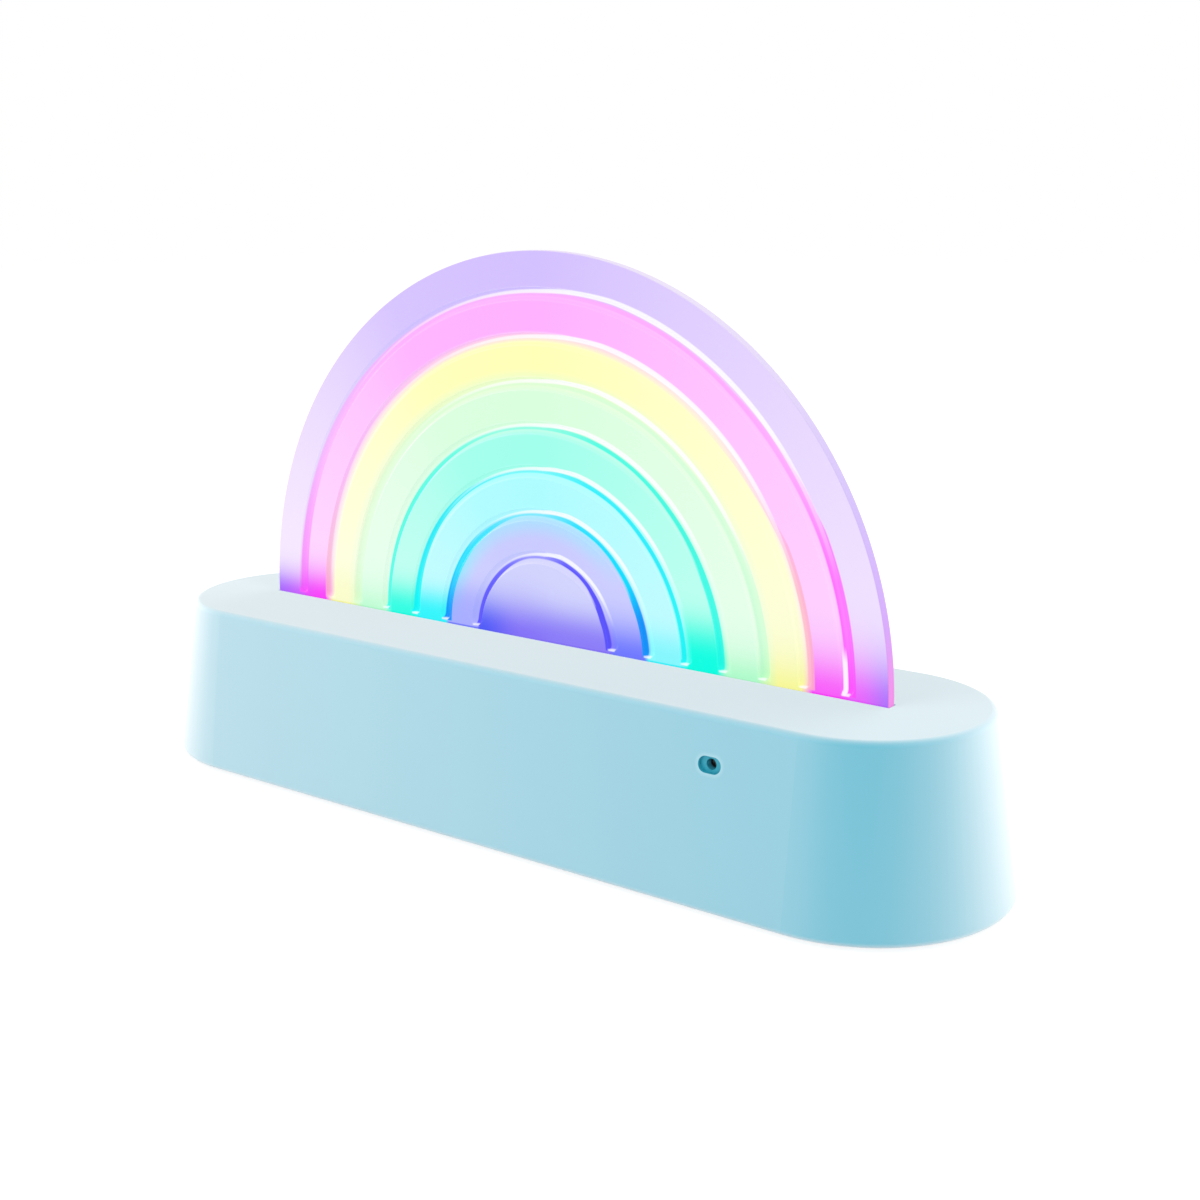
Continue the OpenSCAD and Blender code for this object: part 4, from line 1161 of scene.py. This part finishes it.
@dataclass
class BaseShell(SubAssembly):
    """The pale blue base: shell, cover, its screws and the rubber feet."""

    # The shell and cover: their paler edges are a painted edge highlight, and their painted sheen mixes white
    # into the colour at grazing angles.
    cover: Plastic = Plastic(
        "pale_blue_satin", "#6FBFD4", roughness=0.46, spread=0.06, mottle=0.02, grain=0.35 * MM,
        depth=0.004 * MM, edge_wear_and_highlight_share=0.12, edge_wear_and_highlight_colour="#BFE2EA", painted_sheen=0.85)
    feet: Finish = Rubber("foot_rubber_grey", "#8E9496")

    def finishes(self) -> dict[str, Finish]:
        """Returns the base's finishes, the shell's with the painted shade and highlight of the microphone
        port's recess.
        """
        low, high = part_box("microphone_capsule")
        middle = (low + high) / 2
        ported = {**vars(self.cover), "name": "pale_blue_satin_ported", "port": (middle.x, middle.z)}
        return {"base_housing": PortedPlastic(**ported), "bottom_cover": self.cover,
                "cover_screws": SCREW_STEEL, "rubber_feet": self.feet}


@dataclass
class LightEngine(SubAssembly):
    """What lights the plate's foot: cradle, light strip, its lights, socket and lead."""

    jacket: Finish = Plastic("lead_jacket_grey", "#8C9499", roughness=0.5)
    strip: Finish = CircuitBoard("light_strip_white", "#EEF0EC", track="#D8DCD6")
    glow_depth: float = 0.5 * MM

    def finishes(self) -> dict[str, Finish]:
        """Returns the light engine's finishes."""
        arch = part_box("rainbow_plate")[1]
        lights = LightCase("light_case_glow", arch_radius=arch.x, arch_height=arch.z - arch.x,
                           glow_from=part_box("rgb_leds")[1].z - self.glow_depth)
        return {"plate_cradle": WHITE_MOULDING, "cradle_screws": SCREW_STEEL, "plate_screws": SCREW_STEEL,
                "led_board": self.strip, "led_board_screws": SCREW_STEEL, "rgb_leds": lights,
                "led_socket": NYLON, "led_lead": self.jacket}


@dataclass
class Electronics(SubAssembly):
    """The main board and what is soldered on it."""

    board: Finish = CircuitBoard("board_green_mask", "#1E6B3C", track="#2F8A50")
    ferrite: Finish = Plastic("coil_ferrite_grey", "#3A3C40", roughness=0.7, grain=0.2 * MM, depth=0.02 * MM)
    plunger: Finish = Plastic("plunger_nylon_white", "#E6E4DC", roughness=0.5)

    def finishes(self) -> dict[str, Finish]:
        """Returns the board's finishes."""
        chips = dict.fromkeys(("control_chip", "charger_chip", "tact_switch", "usb_tongue"), CHIP_EPOXY)
        headers = dict.fromkeys(("led_header", "battery_header", "microphone_header"), NYLON)
        return {"main_board": self.board, "board_screws": SCREW_STEEL, **chips, "power_coil": self.ferrite,
                "board_capacitors": CAN_ALUMINIUM, **headers, "switch_plunger": self.plunger}


@dataclass
class PortBay(SubAssembly):
    """What shows in the bay at the back: socket, mode button and charge light."""

    button: Finish = Plastic("button_white_satin", "#E9F1F3", roughness=0.4, painted_sheen=0.2)
    pipe: Finish = ClearPlastic("clear_pipe_moulding")
    case: Finish = Plastic("charge_light_case", "#F0F0EA", roughness=0.35)

    def finishes(self) -> dict[str, Finish]:
        """Returns the bay's finishes."""
        return {"usb_socket": SOCKET_STEEL, "mode_button": self.button, "charge_light_pipe": self.pipe,
                "charge_led": self.case}


@dataclass
class PowerPack(SubAssembly):
    """The battery cell with its strap, plug and lead."""

    wrap: Finish = Plastic("cell_wrap_blue", "#2C6FB5", roughness=0.3, mottle=0.08, edge_wear_and_highlight_share=0.2)
    jacket: Finish = Plastic("red_jacket_soft", "#B3262B", roughness=0.45)

    def finishes(self) -> dict[str, Finish]:
        """Returns the power pack's finishes."""
        return {"battery_cell": self.wrap, "battery_strap": WHITE_MOULDING, "strap_screws": SCREW_STEEL,
                "battery_plug": NYLON, "battery_lead": self.jacket}


@dataclass
class MicrophoneKit(SubAssembly):
    """The capsule in its rubber boot behind the port, with its lead."""

    boot: Finish = Rubber("boot_rubber_black", "#26282A", bloom="#6A6C6E")
    jacket: Finish = Plastic("black_jacket_soft", "#1E1F21", roughness=0.5)

    def finishes(self) -> dict[str, Finish]:
        """Returns the microphone's finishes."""
        return {"microphone_boot": self.boot, "microphone_capsule": CAN_ALUMINIUM,
                "microphone_lead": self.jacket}


@dataclass
class Lamp:
    """One soft studio lamp, aimed at the object."""

    name: str
    place: Triple
    width: float
    height: float
    power: float

    def build(self, aim: Vector) -> None:
        """Hangs the lamp.

        Args:
            aim: The point it faces.
        """
        light = bpy.data.lights.new(self.name, "AREA")
        light.shape = "RECTANGLE"
        light.size, light.size_y = self.width, self.height
        light.energy = self.power
        lamp = put(self.name, light)
        lamp.location = self.place
        lamp.rotation_euler = (aim - Vector(self.place)).to_track_quat("-Z", "Y").to_euler()
        lamp.visible_camera = False


@dataclass
class Studio:
    """A white studio: camera, lamps, pale floor and white surroundings."""

    azimuth: float = 37.48
    elevation: float = 13.55
    roll: float = -0.514
    distance: float = 380.46 * MM
    target: Triple = (15.97 * MM, 0.0, 52.78 * MM)
    lens: float = 50.378
    sensor: float = 36.0
    sight: Point = (0.01, 20.0)
    ambient: float = 0.68
    floor_half: float = 3.0
    floor_white: float = 0.86
    floor_paint: float = 0.30
    floor_bounce: float = 0.85
    lamps: tuple[Lamp, ...] = (
        Lamp("key_lamp", (-0.55, -0.95, 0.95), 0.9, 0.9, 4.2),
        Lamp("side_lamp", (1.10, -0.25, 0.70), 0.5, 0.9, 2.5),
        Lamp("back_lamp", (0.20, 1.00, 0.90), 0.9, 0.5, 2.0),
        Lamp("left_strip", (-0.80, 0.00, 0.10), 0.7, 0.4, 1.6),
        Lamp("right_strip", (0.52, 0.42, 0.08), 0.6, 0.4, 1.8),
        Lamp("front_strip", (-0.35, -1.00, 0.20), 0.9, 0.6, 1.6),
    )

    def build(self) -> None:
        """Sets up the whole studio."""
        for lamp in self.lamps:
            lamp.build(Vector(self.target))
        self.build_camera()
        self.build_floor()
        self.build_world()
        bpy.context.scene.view_settings.view_transform = "Standard"

    def build_camera(self) -> None:
        """Places the camera at the photograph's angle."""
        turn, lift, tilt = (math.radians(a) for a in (self.azimuth, self.elevation, self.roll))
        back = Vector((math.sin(turn) * math.cos(lift), -math.cos(turn) * math.cos(lift), math.sin(lift)))
        level = (-back).cross(Vector((0, 0, 1))).normalized()
        up = level.cross(-back)
        right = math.cos(tilt) * level + math.sin(tilt) * up
        upright = -math.sin(tilt) * level + math.cos(tilt) * up
        lens = bpy.data.cameras.new("studio_camera")
        lens.lens, lens.sensor_width = self.lens, self.sensor
        lens.clip_start, lens.clip_end = self.sight
        camera = put("studio_camera", lens)
        turned = Matrix((right, upright, back)).transposed().to_4x4()
        camera.matrix_world = Matrix.Translation(Vector(self.target) + self.distance * back) @ turned
        bpy.context.scene.camera = camera

    def build_floor(self) -> None:
        """Lays a pale floor that shows white and keeps the object's soft shadow."""
        mesh = bmesh.new()
        bmesh.ops.create_grid(mesh, x_segments=1, y_segments=1, size=self.floor_half)
        data = bpy.data.meshes.new("studio_floor")
        mesh.to_mesh(data)
        mesh.free()
        floor = put("studio_floor", data)
        paint = bpy.data.materials.new("floor_paint")
        graph = Graph.emptied(paint)
        seen = self.seen(graph)
        colour = graph.mix(seen, grey(self.floor_bounce), grey(self.floor_paint))
        plain = graph.add("ShaderNodeBsdfDiffuse", {"Color": colour})
        shine = graph.add("ShaderNodeEmission", {"Strength": graph.product(seen, self.floor_white)})
        both = graph.add("ShaderNodeAddShader", {0: plain.outputs[0], 1: shine.outputs[0]})
        graph.add("ShaderNodeOutputMaterial", {"Surface": both.outputs[0]})
        data.materials.append(paint)

    def build_world(self) -> None:
        """Makes the surroundings white to the eye and in reflections, and softer as a light."""
        world = bpy.data.worlds.new("white_studio")
        graph = Graph.emptied(world)
        level = graph.math("MULTIPLY_ADD", self.seen(graph), 1.0 - self.ambient, self.ambient)
        sky = graph.add("ShaderNodeBackground", {"Color": WHITE, "Strength": level})
        graph.add("ShaderNodeOutputWorld", {"Surface": sky.outputs[0]})
        bpy.context.scene.world = world

    @staticmethod
    def seen(graph: Graph) -> Socket:
        """Returns one for the eye, reflections and what shows through glass, and zero for light."""
        path = graph.add("ShaderNodeLightPath")
        seen = graph.math("MAXIMUM", path.outputs["Is Camera Ray"], path.outputs["Is Glossy Ray"])
        return graph.math("MAXIMUM", seen, path.outputs["Is Transmission Ray"])


def clear_defaults() -> None:
    """Removes the cube, camera and light that a new file starts with."""
    kept = {*frame["nodes"].values(), *frame["bodies"].values()}
    for thing in list(bpy.data.objects):
        if thing not in kept:
            bpy.data.objects.remove(thing)


def main() -> None:
    """Builds and dresses the lamp and sets up the studio."""
    clear_defaults()
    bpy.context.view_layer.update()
    RainbowPlate().build()
    for part in (BaseShell(), LightEngine(), Electronics(), PortBay(), PowerPack(), MicrophoneKit()):
        part.dress()
    Studio().build()


if __name__ == "__main__":
    main()
